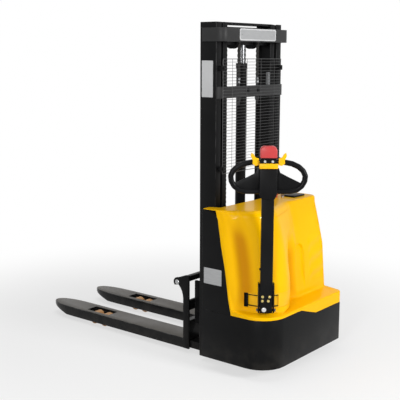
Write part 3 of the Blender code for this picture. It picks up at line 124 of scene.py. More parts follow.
def shaderGroup(name, inputs, outputs):
    results = [(label, "Float") for label in outputs]
    return newTree(name, "ShaderNodeTree", [("Vector", "Vector")] + inputs, results)


def makeGrain():  # fine surface texture and slow tone changes
    tree, given, out = shaderGroup("fineGrain", [("Scale", "Float", 400.0), ("Blotch", "Float", 6.0)],
                                   ["Height", "Tone"])
    feed(tree, out["Height"], noise(tree, given["Vector"], given["Scale"], 3.0, 0.6))
    slow = noise(tree, given["Vector"], given["Blotch"], 4.0, 0.55)
    feed(tree, out["Tone"], rangeNode(tree, slow, 0.30, 0.70))
    return tree


def makeRub():  # thin rubbed scratches, and wear along the edges that carry the "edge" attribute
    tree, given, out = shaderGroup("rubMarks", [("Edge", "Float", 0.0), ("Scale", "Float", 20.0),
                                                ("Amount", "Float", 0.3)], ["Mask"])
    sockets = {"Vector": given["Vector"], "Scale": (1.0, 1.0, 0.12), "Rotation": (0.35, 0.5, 0.2)}
    stretch = addNode(tree, "ShaderNodeMapping", sockets).outputs["Vector"]
    lines = noise(tree, stretch, times(tree, given["Scale"], 6.0), 6.0, 0.7)
    patch = noise(tree, given["Vector"], given["Scale"])
    marks = times(tree, rangeNode(tree, lines, 0.66, 0.74), rangeNode(tree, patch, 0.52, 0.70))
    rubbed = times(tree, given["Edge"], rangeNode(tree, patch, 0.40, 0.62))
    both = mathNode(tree, "ADD", marks, rubbed, clamp=True)
    feed(tree, out["Mask"], times(tree, both, given["Amount"]))
    return tree


def makeDustAndSheen():  # pale dust that gathers low down, and painted sheen that lightens faces that look up towards the same tone
    tree, given, out = shaderGroup("floorDust", [("Top", "Float", 0.25), ("Amount", "Float", 0.2),
                                                 ("Settled", "Float", 0.0)], ["Mask"])
    cloud = noise(tree, given["Vector"], 14.0, 5.0)
    height = rangeNode(tree, upwardPart(tree, given["Vector"]), given["Top"], 0.0)
    fall = times(tree, times(tree, height, rangeNode(tree, cloud, 0.35, 0.70)), given["Amount"])
    normal = addNode(tree, "ShaderNodeNewGeometry").outputs["Normal"]
    # painted sheen: faces that look up are lightened by the amount given for them
    flat = rangeNode(tree, upwardPart(tree, normal), 0.75, 1.0)
    flat = times(tree, times(tree, flat, rangeNode(tree, cloud, 0.20, 0.75, 0.7, 1.0)), given["Settled"])
    feed(tree, out["Mask"], mathNode(tree, "ADD", fall, flat, clamp=True))
    return tree


def makeToolLines():  # fine lines left by a tool along one direction
    inputs = [("Scale", "Float", 300.0), ("Stretch", "Vector", (1.0, 0.05, 1.0))]
    tree, given, out = shaderGroup("toolLines", inputs, ["Height", "Tone"])
    sockets = {0: given["Vector"], 1: given["Stretch"]}
    pull = addNode(tree, "ShaderNodeVectorMath", sockets, operation="MULTIPLY").outputs["Vector"]
    lines = noise(tree, pull, given["Scale"], 4.0)
    feed(tree, out["Height"], lines)
    feed(tree, out["Tone"], rangeNode(tree, lines, 0.3, 0.7))
    return tree


grainGroup = makeGrain()
rubGroup = makeRub()
dustSheenGroup = makeDustAndSheen()
toolGroup = makeToolLines()
# the dust tone, which the painted sheen on faces that look up also uses
dustSheenColour = (0.30, 0.27, 0.23)


def placeGroup(tree, group, **sockets):
    return addNode(tree, "ShaderNodeGroup", sockets, node_tree=group).outputs


def mixColour(tree, factor, first, second):
    first, second = [value if hasattr(value, "is_output") else (*value, 1.0) for value in (first, second)]
    return addNode(tree, "ShaderNodeMix", {0: factor, 6: first, 7: second}, data_type="RGBA").outputs[2]


def attributeValue(tree, name):
    return addNode(tree, "ShaderNodeAttribute", attribute_name=name).outputs["Fac"]


def coatedFinish(name, look):
    mat = bpy.data.materials.new(name)
    mat.use_nodes = True
    tree = mat.node_tree
    place = addNode(tree, "ShaderNodeTexCoord").outputs["Object"]
    scale = look["grainScale"]
    if "brushed" in look:
        grain = placeGroup(tree, toolGroup, Vector=place, Scale=scale, Stretch=look["brushed"])
    else:
        grain = placeGroup(tree, grainGroup, Vector=place, Scale=scale, Blotch=look.get("blotch", 6.0))
    rub = placeGroup(tree, rubGroup, Vector=place, Edge=attributeValue(tree, "edge"),
                     Scale=look.get("rubScale", 18.0), Amount=look["rub"])["Mask"]
    # one mask for pale dust low down and painted sheen on faces that look up
    dust = placeGroup(tree, dustSheenGroup, Vector=place, Top=look.get("dustTop", 0.25),
                      Amount=look.get("dust", 0.0), Settled=look.get("topSheen", 0.0))["Mask"]
    colour = mixColour(tree, grain["Tone"], look["colour"], look["shade"])
    colour = mixColour(tree, rub, colour, look["rubColour"])
    colour = mixColour(tree, dust, colour, dustSheenColour)
    # painted shade: the colour deepens towards the darker amber where the cover's shade attribute is set, in
    # the valleys beside the nose
    if "hollow" in look:
        colour = mixColour(tree, attributeValue(tree, "hollow"), colour, look["hollow"])
    rough = rangeNode(tree, grain["Tone"], 0.0, 1.0, *look["roughness"], smooth=False)
    rough = mathNode(tree, "ADD", rough, times(tree, dust, 0.4), clamp=True)
    sockets = {"Strength": look.get("bump", 0.3), "Distance": look.get("bumpDepth", 0.0006),
               "Height": grain["Height"]}
    bump = addNode(tree, "ShaderNodeBump", sockets).outputs["Normal"]
    sockets = {"Base Color": colour, "Roughness": rough, "Metallic": look.get("metallic", 0.0),
               "Specular IOR Level": look.get("specular", 0.5), "Coat Weight": look.get("coat", 0.0),
               "Coat Roughness": look.get("coatRoughness", 0.1), "Normal": bump}
    for label, value in sockets.items():
        feed(tree, tree.nodes["Principled BSDF"].inputs[label], value)
    return mat


looks = {
    "blackPaint": dict(colour=(0.0056, 0.0057, 0.0060), shade=(0.0074, 0.0075, 0.0078),
                       roughness=(0.32, 0.42), specular=0.07, grainScale=900.0, bump=0.25, rub=0.22,
                       rubColour=(0.10, 0.10, 0.10), dust=0.05),
    # painted light: a lighter copy of the black paint, so the two crossbeams read as lit
    "beamPaint": dict(colour=(0.0260, 0.0262, 0.0265), shade=(0.0320, 0.0322, 0.0326),
                      roughness=(0.36, 0.46), specular=0.12, grainScale=900.0, bump=0.25, rub=0.22,
                      rubColour=(0.10, 0.10, 0.10)),
    "skirtPaint": dict(colour=(0.0044, 0.0045, 0.0048), shade=(0.0060, 0.0061, 0.0064),
                       roughness=(0.30, 0.40), specular=0.08, grainScale=900.0, bump=0.25, rub=0.18,
                       rubColour=(0.08, 0.08, 0.08), dust=0.05),
    # the fork paint's upward faces get painted sheen, lightened towards the dust tone
    "forkPaint": dict(colour=(0.0045, 0.0046, 0.0048), shade=(0.0070, 0.0071, 0.0073),
                      roughness=(0.22, 0.32), specular=0.16, topSheen=0.34, grainScale=700.0, bump=0.06,
                      rub=0.45, rubScale=9.0, rubColour=(0.16, 0.16, 0.16), dust=0.06, dustTop=0.14),
    # the yellow paint's last colour is painted shade for the valleys beside the cover's nose
    "yellowPaint": dict(colour=(0.930, 0.500, 0.000), shade=(0.900, 0.470, 0.000), roughness=(0.30, 0.38),
                        specular=0.05, grainScale=260.0, bump=0.04, rub=0.10, rubColour=(0.60, 0.36, 0.04),
                        coat=0.08, coatRoughness=0.05, blotch=3.0, hollow=(0.560, 0.190, 0.000)),
    "yellowPlastic": dict(colour=(0.900, 0.480, 0.000), shade=(0.860, 0.440, 0.000), roughness=(0.34, 0.44),
                          specular=0.25, grainScale=600.0, bump=0.10, rub=0.15,
                          rubColour=(0.50, 0.30, 0.05)),
    "blackPlastic": dict(colour=(0.0036, 0.0036, 0.0040), shade=(0.0054, 0.0054, 0.0058),
                         roughness=(0.30, 0.42), specular=0.09, grainScale=1100.0, bump=0.30, rub=0.15,
                         rubColour=(0.06, 0.06, 0.06)),
    "redPlastic": dict(colour=(0.500, 0.045, 0.045), shade=(0.430, 0.035, 0.035), roughness=(0.34, 0.44),
                       specular=0.35, grainScale=900.0, bump=0.12, rub=0.2, rubColour=(0.80, 0.25, 0.22)),
    "chromeRod": dict(colour=(0.150, 0.153, 0.157), shade=(0.110, 0.112, 0.116), roughness=(0.20, 0.30),
                      grainScale=500.0, brushed=(1.0, 1.0, 0.02), bump=0.04, rub=0.1,
                      rubColour=(0.4, 0.4, 0.4), metallic=1.0),
    "bareSteel": dict(colour=(0.430, 0.435, 0.440), shade=(0.330, 0.335, 0.340), roughness=(0.26, 0.42),
                      grainScale=500.0, brushed=(0.05, 1.0, 0.05), bump=0.10, rub=0.3,
                      rubColour=(0.2, 0.19, 0.18), metallic=1.0),
    "oiledChain": dict(colour=(0.090, 0.086, 0.080), shade=(0.050, 0.047, 0.044), roughness=(0.30, 0.50),
                       grainScale=700.0, bump=0.2, rub=0.5, rubColour=(0.35, 0.34, 0.33), metallic=0.85),
    "amberTread": dict(colour=(0.620, 0.330, 0.130), shade=(0.520, 0.270, 0.100), roughness=(0.38, 0.52),
                       grainScale=300.0, bump=0.15, rub=0.5, rubScale=40.0, rubColour=(0.32, 0.20, 0.11),
                       dust=0.2, dustTop=0.06),
    "blackTyre": dict(colour=(0.022, 0.022, 0.022), shade=(0.034, 0.033, 0.032), roughness=(0.62, 0.80),
                      grainScale=500.0, bump=0.4, rub=0.3, rubColour=(0.10, 0.10, 0.10), dust=0.4,
                      dustTop=0.16),
    "castHousing": dict(colour=(0.150, 0.155, 0.160), shade=(0.110, 0.113, 0.117), roughness=(0.45, 0.62),
                        grainScale=350.0, bump=0.6, bumpDepth=0.001, rub=0.3, rubColour=(0.30, 0.30, 0.30)),
    "batteryCase": dict(colour=(0.190, 0.200, 0.210), shade=(0.150, 0.160, 0.168), roughness=(0.45, 0.60),
                        grainScale=500.0, bump=0.3, rub=0.3, rubColour=(0.30, 0.31, 0.32), dust=0.2,
                        dustTop=0.6),
    "greyButton": dict(colour=(0.500, 0.500, 0.500), shade=(0.430, 0.430, 0.430), roughness=(0.35, 0.45),
                       grainScale=900.0, bump=0.1, rub=0.2, rubColour=(0.7, 0.7, 0.7)),
    "dullSteel": dict(colour=(0.150, 0.152, 0.155), shade=(0.110, 0.112, 0.115), roughness=(0.34, 0.46),
                      grainScale=500.0, bump=0.1, rub=0.3, rubColour=(0.3, 0.3, 0.3), metallic=0.8),
    "zincPlate": dict(colour=(0.620, 0.500, 0.190), shade=(0.520, 0.420, 0.160), roughness=(0.22, 0.34),
                      grainScale=500.0, bump=0.1, rub=0.2, rubColour=(0.5, 0.5, 0.45), metallic=0.9),
    "brightZinc": dict(colour=(0.700, 0.705, 0.710), shade=(0.600, 0.605, 0.610), roughness=(0.22, 0.34),
                       grainScale=500.0, bump=0.1, rub=0.2, rubColour=(0.5, 0.5, 0.5), metallic=0.9),
    "blankPlate": dict(colour=(0.400, 0.405, 0.410), shade=(0.350, 0.355, 0.360), roughness=(0.30, 0.44),
                       grainScale=420.0, brushed=(0.05, 0.05, 1.0), bump=0.06, rub=0.2,
                       rubColour=(0.35, 0.35, 0.35), metallic=0.55),
    "blankLabel": dict(colour=(0.560, 0.565, 0.570), shade=(0.520, 0.525, 0.530), roughness=(0.40, 0.50),
                       grainScale=260.0, bump=0.05, rub=0.15, rubColour=(0.38, 0.38, 0.38)),
    "guardWire": dict(colour=(0.030, 0.030, 0.031), shade=(0.045, 0.045, 0.046), roughness=(0.34, 0.44),
                      grainScale=900.0, bump=0.1, rub=0.2, rubColour=(0.14, 0.14, 0.14)),
    "darkScreen": dict(colour=(0.012, 0.014, 0.016), shade=(0.016, 0.018, 0.020), roughness=(0.08, 0.14),
                       grainScale=200.0, bump=0.02, rub=0.05, rubColour=(0.05, 0.05, 0.05)),
}
finishes = {name: coatedFinish(name, look) for name, look in looks.items()}
slotFinish = {
    "black_paint": "blackPaint", "fork_paint": "forkPaint", "yellow_cover": "yellowPaint",
    "yellow_plastic": "yellowPlastic", "black_plastic": "blackPlastic", "red_plastic": "redPlastic",
    "chrome": "chromeRod", "steel": "bareSteel", "chain_steel": "oiledChain", "polyurethane": "amberTread",
    "tyre": "blackTyre", "motor_grey": "castHousing", "battery_case": "batteryCase",
    "light_grey": "greyButton",
}
print("finishes made:", len(finishes))


# Helpers that turn outlines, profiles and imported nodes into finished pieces


def newObject(name, data):
    made = bpy.data.objects.new(name, data)
    bpy.context.scene.collection.objects.link(made)
    return made


def showMesh(name, mesh, finish):
    mesh.materials.clear()
    mesh.materials.append(finishes[finish])
    return newObject(name, mesh)


def smoothShade(mesh, angle=32.0):
    mesh.shade_smooth()
    mesh.set_sharp_from_angle(angle=math.radians(angle))


def showShape(name, bm, finish, angle):  # the edited mesh becomes a shown piece
    mesh = bpy.data.meshes.new(name)
    bm.to_mesh(mesh)
    bm.free()
    smoothShade(mesh, angle)
    return showMesh(name, mesh, finish)


def settle(piece, body, replaced=()):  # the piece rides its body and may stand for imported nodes
    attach(piece, body)
    if replaced:
        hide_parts(*replaced)
        finishedNodes.update(replaced)
    return piece


def addModifier(piece, kind, **settings):
    modifier = piece.modifiers.new(kind.lower(), kind)
    for key, value in settings.items():
        setattr(modifier, key, value)
    return modifier


def evaluated(piece):  # the piece with its modifiers made real
    graph = bpy.context.evaluated_depsgraph_get()
    return bpy.data.meshes.new_from_object(piece.evaluated_get(graph), preserve_all_data_layers=True,
                                           depsgraph=graph)


def mergedCopy(node):
    mesh = frame["nodes"][node].data.copy()
    bm = bmesh.new()
    bm.from_mesh(mesh)
    bmesh.ops.remove_doubles(bm, verts=bm.verts, dist=0.00002)
    bmesh.ops.dissolve_limit(bm, angle_limit=math.radians(1.0), verts=bm.verts, edges=bm.edges)
    bm.to_mesh(mesh)
    bm.free()
    return mesh


def refinish(node, width=0.0015, segments=2, finish=None):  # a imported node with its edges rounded
    mesh = mergedCopy(node)
    finish = finish or slotFinish[slotOf[node]]
    piece = showMesh("fine_" + node, mesh, finish)
    if width > 0:
        mesh.materials.append(finishes[finish])
        addModifier(piece, "BEVEL", width=width, segments=segments, limit_method="ANGLE",
                    angle_limit=math.radians(34.0), material=1, harden_normals=False)
        done = evaluated(piece)
        piece.modifiers.clear()
        bevelled = [float(polygon.material_index == 1) for polygon in done.polygons]
        for polygon in done.polygons:
            polygon.material_index = 0
        layer = done.attributes.new("edge", "FLOAT", "FACE")  # the finishes wear along the bevel faces
        layer.data.foreach_set("value", bevelled)
        piece.data = done
        done.materials.clear()
        done.materials.append(finishes[finish])
    smoothShade(piece.data)
    return settle(piece, bodyOf[node], (node,))


def lathe(name, profile, centre, axis, finish, steps=48):  # closed profile of (radius, along) pairs
    bm = bmesh.new()
    verts = [bm.verts.new((radius, 0.0, along)) for radius, along in profile]
    pairs = list(zip(verts, verts[1:] + verts[:1]))
    edges = [bm.edges.new(pair) for pair in pairs if not (pair[0].co.x < 1e-7 and pair[1].co.x < 1e-7)]
    bmesh.ops.spin(bm, geom=verts + edges, axis=(0, 0, 1), cent=(0, 0, 0), steps=steps, angle=2 * math.pi,
                   use_merge=True)
    bmesh.ops.remove_doubles(bm, verts=bm.verts, dist=0.00001)
    bmesh.ops.recalc_face_normals(bm, faces=bm.faces)
    turn = Vector((0, 0, 1)).rotation_difference(Vector(axis)).to_matrix().to_4x4()
    bmesh.ops.transform(bm, matrix=Matrix.Translation(centre) @ turn, verts=bm.verts)
    return showShape(name, bm, finish, 35)


def prism(name, outline, low, high, place, finish, bevel=0.0, segments=2):
    # a flat outline in the first two axes of place, given thickness along the third
    bm = bmesh.new()
    bottom = [bm.verts.new((a, b, low)) for a, b in outline]
    top = [bm.verts.new((a, b, high)) for a, b in outline]
    bm.faces.new(list(reversed(bottom)))
    bm.faces.new(top)
    for a, b, c, d in zip(bottom, bottom[1:] + bottom[:1], top[1:] + top[:1], top):
        bm.faces.new((a, b, c, d))
    bmesh.ops.recalc_face_normals(bm, faces=bm.faces)
    if bevel > 0:
        sharp = [edge for edge in bm.edges if edge.calc_face_angle(0) > math.radians(30)]
        bmesh.ops.bevel(bm, geom=sharp, offset=bevel, segments=segments, profile=0.5, affect="EDGES",
                        clamp_overlap=True)
    bmesh.ops.transform(bm, matrix=place, verts=bm.verts)
    bmesh.ops.recalc_face_normals(bm, faces=bm.faces)
    return showShape(name, bm, finish, 40)


def joinPieces(name, pieces):
    bm = bmesh.new()
    finish = pieces[0].data.materials[0].name
    for piece in pieces:
        bm.from_mesh(piece.data)
        bpy.data.objects.remove(piece, do_unlink=True)
    return showShape(name, bm, finish, 38)


def curveFrom(name, points, kind):
    curve = bpy.data.curves.new(name, "CURVE")
    curve.dimensions = "3D"
    spline = curve.splines.new(kind)
    spline.points.add(len(points) - 1)
    for point, place in zip(spline.points, points):
        point.co = (*place, 1.0)
    return curve


def tube(name, points, radius, finish, sides):  # a round bar that runs from point to point
    curve = curveFrom(name, points, "NURBS")
    curve.bevel_depth = radius
    curve.bevel_resolution = sides // 4 - 1
    curve.use_fill_caps = True
    spline = curve.splines[0]
    spline.order_u = 2
    spline.resolution_u = 6
    spline.use_endpoint_u = True
    holder = newObject(name + "Path", curve)
    bm = bmesh.new()
    bm.from_mesh(evaluated(holder))
    bpy.data.objects.remove(holder, do_unlink=True)
    bmesh.ops.remove_doubles(bm, verts=bm.verts, dist=0.00002)
    bmesh.ops.recalc_face_normals(bm, faces=bm.faces)
    return showShape(name, bm, finish, 50)


def axesMatrix(origin, xAxis, yAxis):
    x = Vector(xAxis).normalized()
    y = Vector(yAxis).normalized()
    matrix = Matrix((x, y, x.cross(y))).transposed().to_4x4()
    matrix.translation = Vector(origin)
    return matrix


def ringArc(cx, cy, radius, start, end, count):
    angles = [math.radians(start + (end - start) * i / count) for i in range(count + 1)]
    return [(cx + radius * math.cos(a), cy + radius * math.sin(a)) for a in angles]


def roundedBox(width, height, radius, count=5):  # outline round the origin
    a, b = width / 2 - radius, height / 2 - radius
    corners = ((a, b, 0), (-a, b, 90), (-a, -b, 180), (a, -b, 270))
    return [point for x, y, start in corners for point in ringArc(x, y, radius, start, start + 90, count)]


# Geometry node trees for what repeats


def cylinderNode(tree, sides, radius, depth):
    sockets = {"Vertices": sides, "Radius": radius, "Depth": depth}
    return addNode(tree, "GeometryNodeMeshCylinder", sockets).outputs["Mesh"]


def moveNode(tree, shape, **sockets):
    return addNode(tree, "GeometryNodeTransform", {"Geometry": shape, **sockets}).outputs[0]


def placeOnPoints(tree, points, shape, **sockets):
    sockets = {"Points": points, "Instance": shape, **sockets}
    return addNode(tree, "GeometryNodeInstanceOnPoints", sockets).outputs[0]


def joinNode(tree, shapes):
    join = addNode(tree, "GeometryNodeJoinGeometry")
    for shape in shapes:
        tree.links.new(shape, join.inputs[0])
    return join.outputs[0]


def vectorOf(tree, x=0.0, y=0.0, z=0.0):
    return addNode(tree, "ShaderNodeCombineXYZ", {0: x, 1: y, 2: z}).outputs[0]


def shapeTree(name, inputs):
    return newTree(name, "GeometryNodeTree", inputs + [("Material", "Material")], [("Geometry", "Geometry")])


def finishTree(tree, given, out, shape):
    real = addNode(tree, "GeometryNodeRealizeInstances", {0: shape}).outputs[0]
    paint = addNode(tree, "GeometryNodeSetMaterial", {"Geometry": real, "Material": given["Material"]})
    feed(tree, out[0], paint.outputs[0])
    return tree


def grow(name, tree, base, values, finish, angle=40.0):  # runs a tree on a base and keeps its plain mesh
    holder = newObject(name + "Base", base)
    modifier = addModifier(holder, "NODES", node_group=tree)
    values = {**values, "Material": finishes[finish]}
    for item in tree.interface.items_tree:
        if item.in_out == "INPUT" and item.name in values:
            modifier[item.identifier] = values[item.name]
    mesh = evaluated(holder)
    holder.modifiers.clear()
    bpy.data.objects.remove(holder, do_unlink=True)
    mesh.name = name
    smoothShade(mesh, angle)
    return showMesh(name, mesh, finish)


def makeBoltTree():  # a hexagon head on a washer, on every point of the base, facing its "facing" attribute
    tree, given, out = shapeTree("boltHeads", [
        ("Geometry", "Geometry"), ("Head Radius", "Float", 0.006), ("Head Height", "Float", 0.004),
        ("Washer Radius", "Float", 0.009)])
    height = given["Head Height"]
    lift = vectorOf(tree, z=times(tree, height, 0.62))
    head = moveNode(tree, cylinderNode(tree, 6, given["Head Radius"], height), Translation=lift)
    washer = cylinderNode(tree, 18, given["Washer Radius"], times(tree, height, 0.35))
    facing = addNode(tree, "GeometryNodeInputNamedAttribute", {"Name": "facing"}, data_type="FLOAT_VECTOR")
    sockets = {"Vector": facing.outputs["Attribute"]}
    align = addNode(tree, "FunctionNodeAlignEulerToVector", sockets, axis="Z")
    bolt = joinNode(tree, (head, washer))
    heads = placeOnPoints(tree, given["Geometry"], bolt, Rotation=align.outputs[0])
    return finishTree(tree, given, out, heads)


boltTree = makeBoltTree()


def bolts(name, places, body, finish="blackPaint", head=0.006, height=0.0045, washer=0.0085):
    mesh = bpy.data.meshes.new(name)
    mesh.from_pydata([tuple(place) for place, facing in places], [], [])
    layer = mesh.attributes.new("facing", "FLOAT_VECTOR", "POINT")
    layer.data.foreach_set("vector", [v for place, facing in places for v in facing])
    values = {"Head Radius": head, "Head Height": height, "Washer Radius": washer}
    return settle(grow(name, boltTree, mesh, values, finish), body)


def makeWireTree():  # a welded grid: close cross wires on a few uprights, inside a heavier border
    tree, given, out = shapeTree("weldedWires", [
        ("Width", "Float", 0.5), ("Height", "Float", 0.6), ("Rows", "Int", 30), ("Uprights", "Int", 4),
        ("Upright Pitch", "Float", 0.14), ("Wire", "Float", 0.0012), ("Border", "Float", 0.002)])
    width, height, wire, border = [given[label] for label in ("Width", "Height", "Wire", "Border")]
    bundles = []

    def rods(count, step, start, length, radius, turn):
        sockets = {"Count": count, "Start Location": start, "Offset": step}
        row = addNode(tree, "GeometryNodeMeshLine", sockets)
        rod = cylinderNode(tree, 8, radius, length)
        bundles.append(placeOnPoints(tree, row.outputs["Mesh"], rod, Rotation=turn))

    upright, across = (0.0, 0.0, 0.0), (math.pi / 2, 0.0, 0.0)
    foot = vectorOf(tree, z=times(tree, height, -0.5))
    pitch = mathNode(tree, "DIVIDE", height, mathNode(tree, "SUBTRACT", given["Rows"], 1))
    rods(given["Rows"], vectorOf(tree, z=pitch), foot, width, wire, across)
    gaps = mathNode(tree, "SUBTRACT", given["Uprights"], 1)
    reach = times(tree, gaps, times(tree, given["Upright Pitch"], -0.5))
    first = vectorOf(tree, x=times(tree, wire, 1.6), y=mathNode(tree, "SUBTRACT", reach, 0.013))
    rods(given["Uprights"], vectorOf(tree, y=given["Upright Pitch"]), first, height, wire, upright)
    rods(2, vectorOf(tree, z=height), foot, width, border, across)
    rods(2, vectorOf(tree, y=width), vectorOf(tree, y=times(tree, width, -0.5)), height, border, upright)
    return finishTree(tree, given, out, joinNode(tree, bundles))


def makeChainTree():  # laced plates and pins along a curve
    tree, given, out = shapeTree("leafChain", [
        ("Geometry", "Geometry"), ("Pitch", "Float", 0.0127), ("Width", "Float", 0.018),
        ("Plate Height", "Float", 0.0105), ("Plate", "Float", 0.0022), ("Pin", "Float", 0.0025)])
    pitch, width, tall = given["Pitch"], given["Width"], given["Plate Height"]
    sockets = {"Curve": given["Geometry"], "Length": pitch}
    path = addNode(tree, "GeometryNodeResampleCurve", sockets, mode="LENGTH").outputs[0]
    tangent = addNode(tree, "GeometryNodeInputTangent").outputs[0]
    align = addNode(tree, "FunctionNodeAlignEulerToVector", {"Vector": tangent}, axis="X", pivot_axis="Y")
    along = align.outputs[0]
    odd = mathNode(tree, "MODULO", addNode(tree, "GeometryNodeInputIndex").outputs[0], 2.0)
    even = mathNode(tree, "SUBTRACT", 1.0, odd)
    laid = (math.pi / 2, 0.0, 0.0)
    ratio = mathNode(tree, "DIVIDE", times(tree, pitch, 1.85), tall)
    rows = []
    for shares, selection in (((-0.42, 0.0, 0.42), even), ((-0.21, 0.21), odd)):
        stack = []
        for share in shares:
            plate = cylinderNode(tree, 10, times(tree, tall, 0.5), given["Plate"])
            shift = vectorOf(tree, times(tree, pitch, 0.5), times(tree, width, share))
            stretch = vectorOf(tree, ratio, 1.0, 1.0)
            stack.append(moveNode(tree, plate, Rotation=laid, Scale=stretch, Translation=shift))
        rows.append(placeOnPoints(tree, path, joinNode(tree, stack), Selection=selection, Rotation=along))
    pin = moveNode(tree, cylinderNode(tree, 8, given["Pin"], width), Rotation=laid)
    rows.append(placeOnPoints(tree, path, pin, Rotation=along))
    return finishTree(tree, given, out, joinNode(tree, rows))


# Mast

guard = dict(rows=38, uprights=4, uprightPitch=0.1378, wire=0.0011, border=0.0018, sideGap=0.010,
             clip=dict(size=(0.030, 0.028), corner=0.004, inset=0.002, low=0.028, high=0.052, seat=0.1113))


def buildGuard():
    low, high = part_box("mesh_guard")
    middle = Vector((low[0] + guard["border"] + 0.0002, (low[1] + high[1]) / 2, (low[2] + high[2]) / 2))
    half = (high[1] - low[1]) / 2 - guard["sideGap"]
    values = {"Width": 2 * half - 2 * guard["border"], "Height": high[2] - low[2] - 2 * guard["border"],
              "Rows": guard["rows"], "Uprights": guard["uprights"], "Upright Pitch": guard["uprightPitch"],
              "Wire": guard["wire"], "Border": guard["border"]}
    piece = grow("guard_wires", makeWireTree(), bpy.data.meshes.new("guardBase"), values, "guardWire", 60)
    piece.data.transform(Matrix.Translation(middle))
    clip = guard["clip"]
    shape = roundedBox(*clip["size"], clip["corner"], 3)
    clips, heads = [], []
    for side in (1, -1):
        for z in (low[2] + clip["low"], high[2] - clip["high"]):
            y = middle.y + side * (half - clip["inset"])
            place = axesMatrix((0, y, z), (0, 1, 0), (0, 0, 1))
            clips.append(prism("clip", shape, middle.x - 0.0035, mastFront - clip["seat"], place,
                               "blackPaint", 0.001, 1))
            heads.append(((middle.x - 0.0036, y, z), (-1, 0, 0)))
    settle(joinPieces("guard_clips", clips), "root")
    bolts("guard_bolts", heads, "root")
    settle(piece, "root", ("mesh_guard",))


chain = dict(pitch=0.0127, plateHeight=0.0104, plate=0.0026, pin=0.0026, band=0.011, endGap=0.006,
             wrapStep=6)


def buildChains():
    tree = makeChainTree()
    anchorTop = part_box("outer_mid_crossbeam")[1][2]
    for side in ("left", "right"):
        low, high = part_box("chain_" + side)
        rearX, frontX = low[0] + chain["band"] / 2, high[0] - chain["band"] / 2
        y = (low[1] + high[1]) / 2
        radius = (frontX - rearX) / 2
        centreZ = high[2] - chain["band"] / 2 - radius
        values = {"Pitch": chain["pitch"], "Width": high[1] - low[1], "Plate Height": chain["plateHeight"],
                  "Plate": chain["plate"], "Pin": chain["pin"]}
        wrap = []
        for angle in range(0, 181, chain["wrapStep"]):
            a = math.radians(angle)
            wrap.append((rearX + radius - radius * math.cos(a), y, centreZ + radius * math.sin(a)))
        rear = [(rearX, y, anchorTop + chain["endGap"]), (rearX, y, centreZ)]
        front = [(frontX, y, centreZ), (frontX, y, low[2] + chain["endGap"])]
        runs = (("rear", rear, ("root", "inner_mast")), ("wrap", wrap, ()),
                ("front", front, ("inner_mast", "carriage")))
        for label, points, ends in runs:
            curve = curveFrom("chainPath", points, "POLY")
            piece = grow("chain_%s_%s" % (label, side), tree, curve, values, "oiledChain", 30)
            if ends:
                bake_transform(piece)
            else:
                settle(piece, "inner_mast", ("chain_" + side,))


beamFit = dict(top=1.579, nutGap=0.0055, nutLifts=(0.016, 0.034), nut=(0.0095, 0.008, 0.0105),
               screwDrop=0.027, screws=(0.030, -0.070), screw=(0.010, 0.004, 0.013),
               block=(0.020, 0.0155, 0.072), blockY=-0.179)


def buildBeamFittings():  # chain anchor nuts, two screws and a small block on the middle crossbeam
    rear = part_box("outer_mid_crossbeam")[0][0]
    nuts = []
    for side in ("left", "right"):
        low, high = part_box("chain_" + side)
        for lift in beamFit["nutLifts"]:
            place = (low[0] + beamFit["nutGap"], (low[1] + high[1]) / 2, beamFit["top"] + lift)
            nuts.append((place, (0, 0, 1)))
    bolts("anchor_nuts", nuts, "root", "dullSteel", *beamFit["nut"])
    screwZ = beamFit["top"] - beamFit["screwDrop"]
    screws = [((rear, mastMiddle + y, screwZ), (-1, 0, 0)) for y in beamFit["screws"]]
    bolts("beam_screws", screws, "root", "blackPlastic", *beamFit["screw"])
    wide, deep, tall = beamFit["block"]
    place = axesMatrix((rear + 0.0002, mastMiddle + beamFit["blockY"], beamFit["top"] + tall / 2 + 0.0002),
                       (0, -1, 0), (0, 0, 1))
    block = prism("beam_block", roundedBox(wide, tall, 0.002), -deep, 0.0, place, "castHousing", 0.001, 2)
    settle(block, "root")


mastEdges = {  # width of the rounded edge and its segments
    "inner_top_crossbar": (0.0015, 2), "inner_head_beam": (0.0012, 2), "inner_foot_tie": (0.0010, 1),
    "mast_foot": (0.0010, 1), "lift_cylinder": (0.0010, 2), "piston_rod": (0.0008, 1),
}


def refinishAll(edges):
    for node, values in edges.items():
        refinish(node, *values)


def buildMast():
    for side in ("left", "right"):
        refinish("outer_rail_" + side, 0.0030, 3)
        refinish("inner_rail_" + side, 0.0025, 3)
        refinish("sheave_" + side, 0.0008, 1, "blackPaint")
        refinish("mast_roller_" + side, 0.0)
    # the crossbeams take the lighter, painted-light copy of the black paint
    for node in ("outer_top_crossbar", "outer_mid_crossbeam"):
        refinish(node, 0.0012, 2, "beamPaint")
    buildBeamFittings()
    refinishAll(mastEdges)


# Cover

hood = dict(noseRadius=0.147, levelStep=0.006, wall=0.004, tangent=10, valleyFade=0.60, rim=0.014,
            noseRim=0.042, slotAngles=(-104, 105.6), slotDepth=0.030, stopHole=0.0115,
            pocket=dict(left=-0.060, right=-0.150, top=0.675, low=0.395, depth=0.013, wall=0.004),
            ribs=dict(pitch=0.090, slant=0.20, start=0.560, depth=0.0040))
# heights with the front edge beside the panels, the rear face and the lean of the nose at each
panelEdge = [(0.3545, -0.279), (0.431, -0.262), (0.595, -0.238), (0.720, -0.211), (0.872, -0.186),
             (0.8976, -0.169)]
rearFace = [(0.392, -0.4217), (0.466, -0.4150), (0.638, -0.4020), (0.770, -0.3700), (0.9126, -0.3330)]
noseLean = [(0.500, 0.0), (0.655, 0.020), (0.775, 0.045), (0.872, 0.075), (0.903, 0.090)]
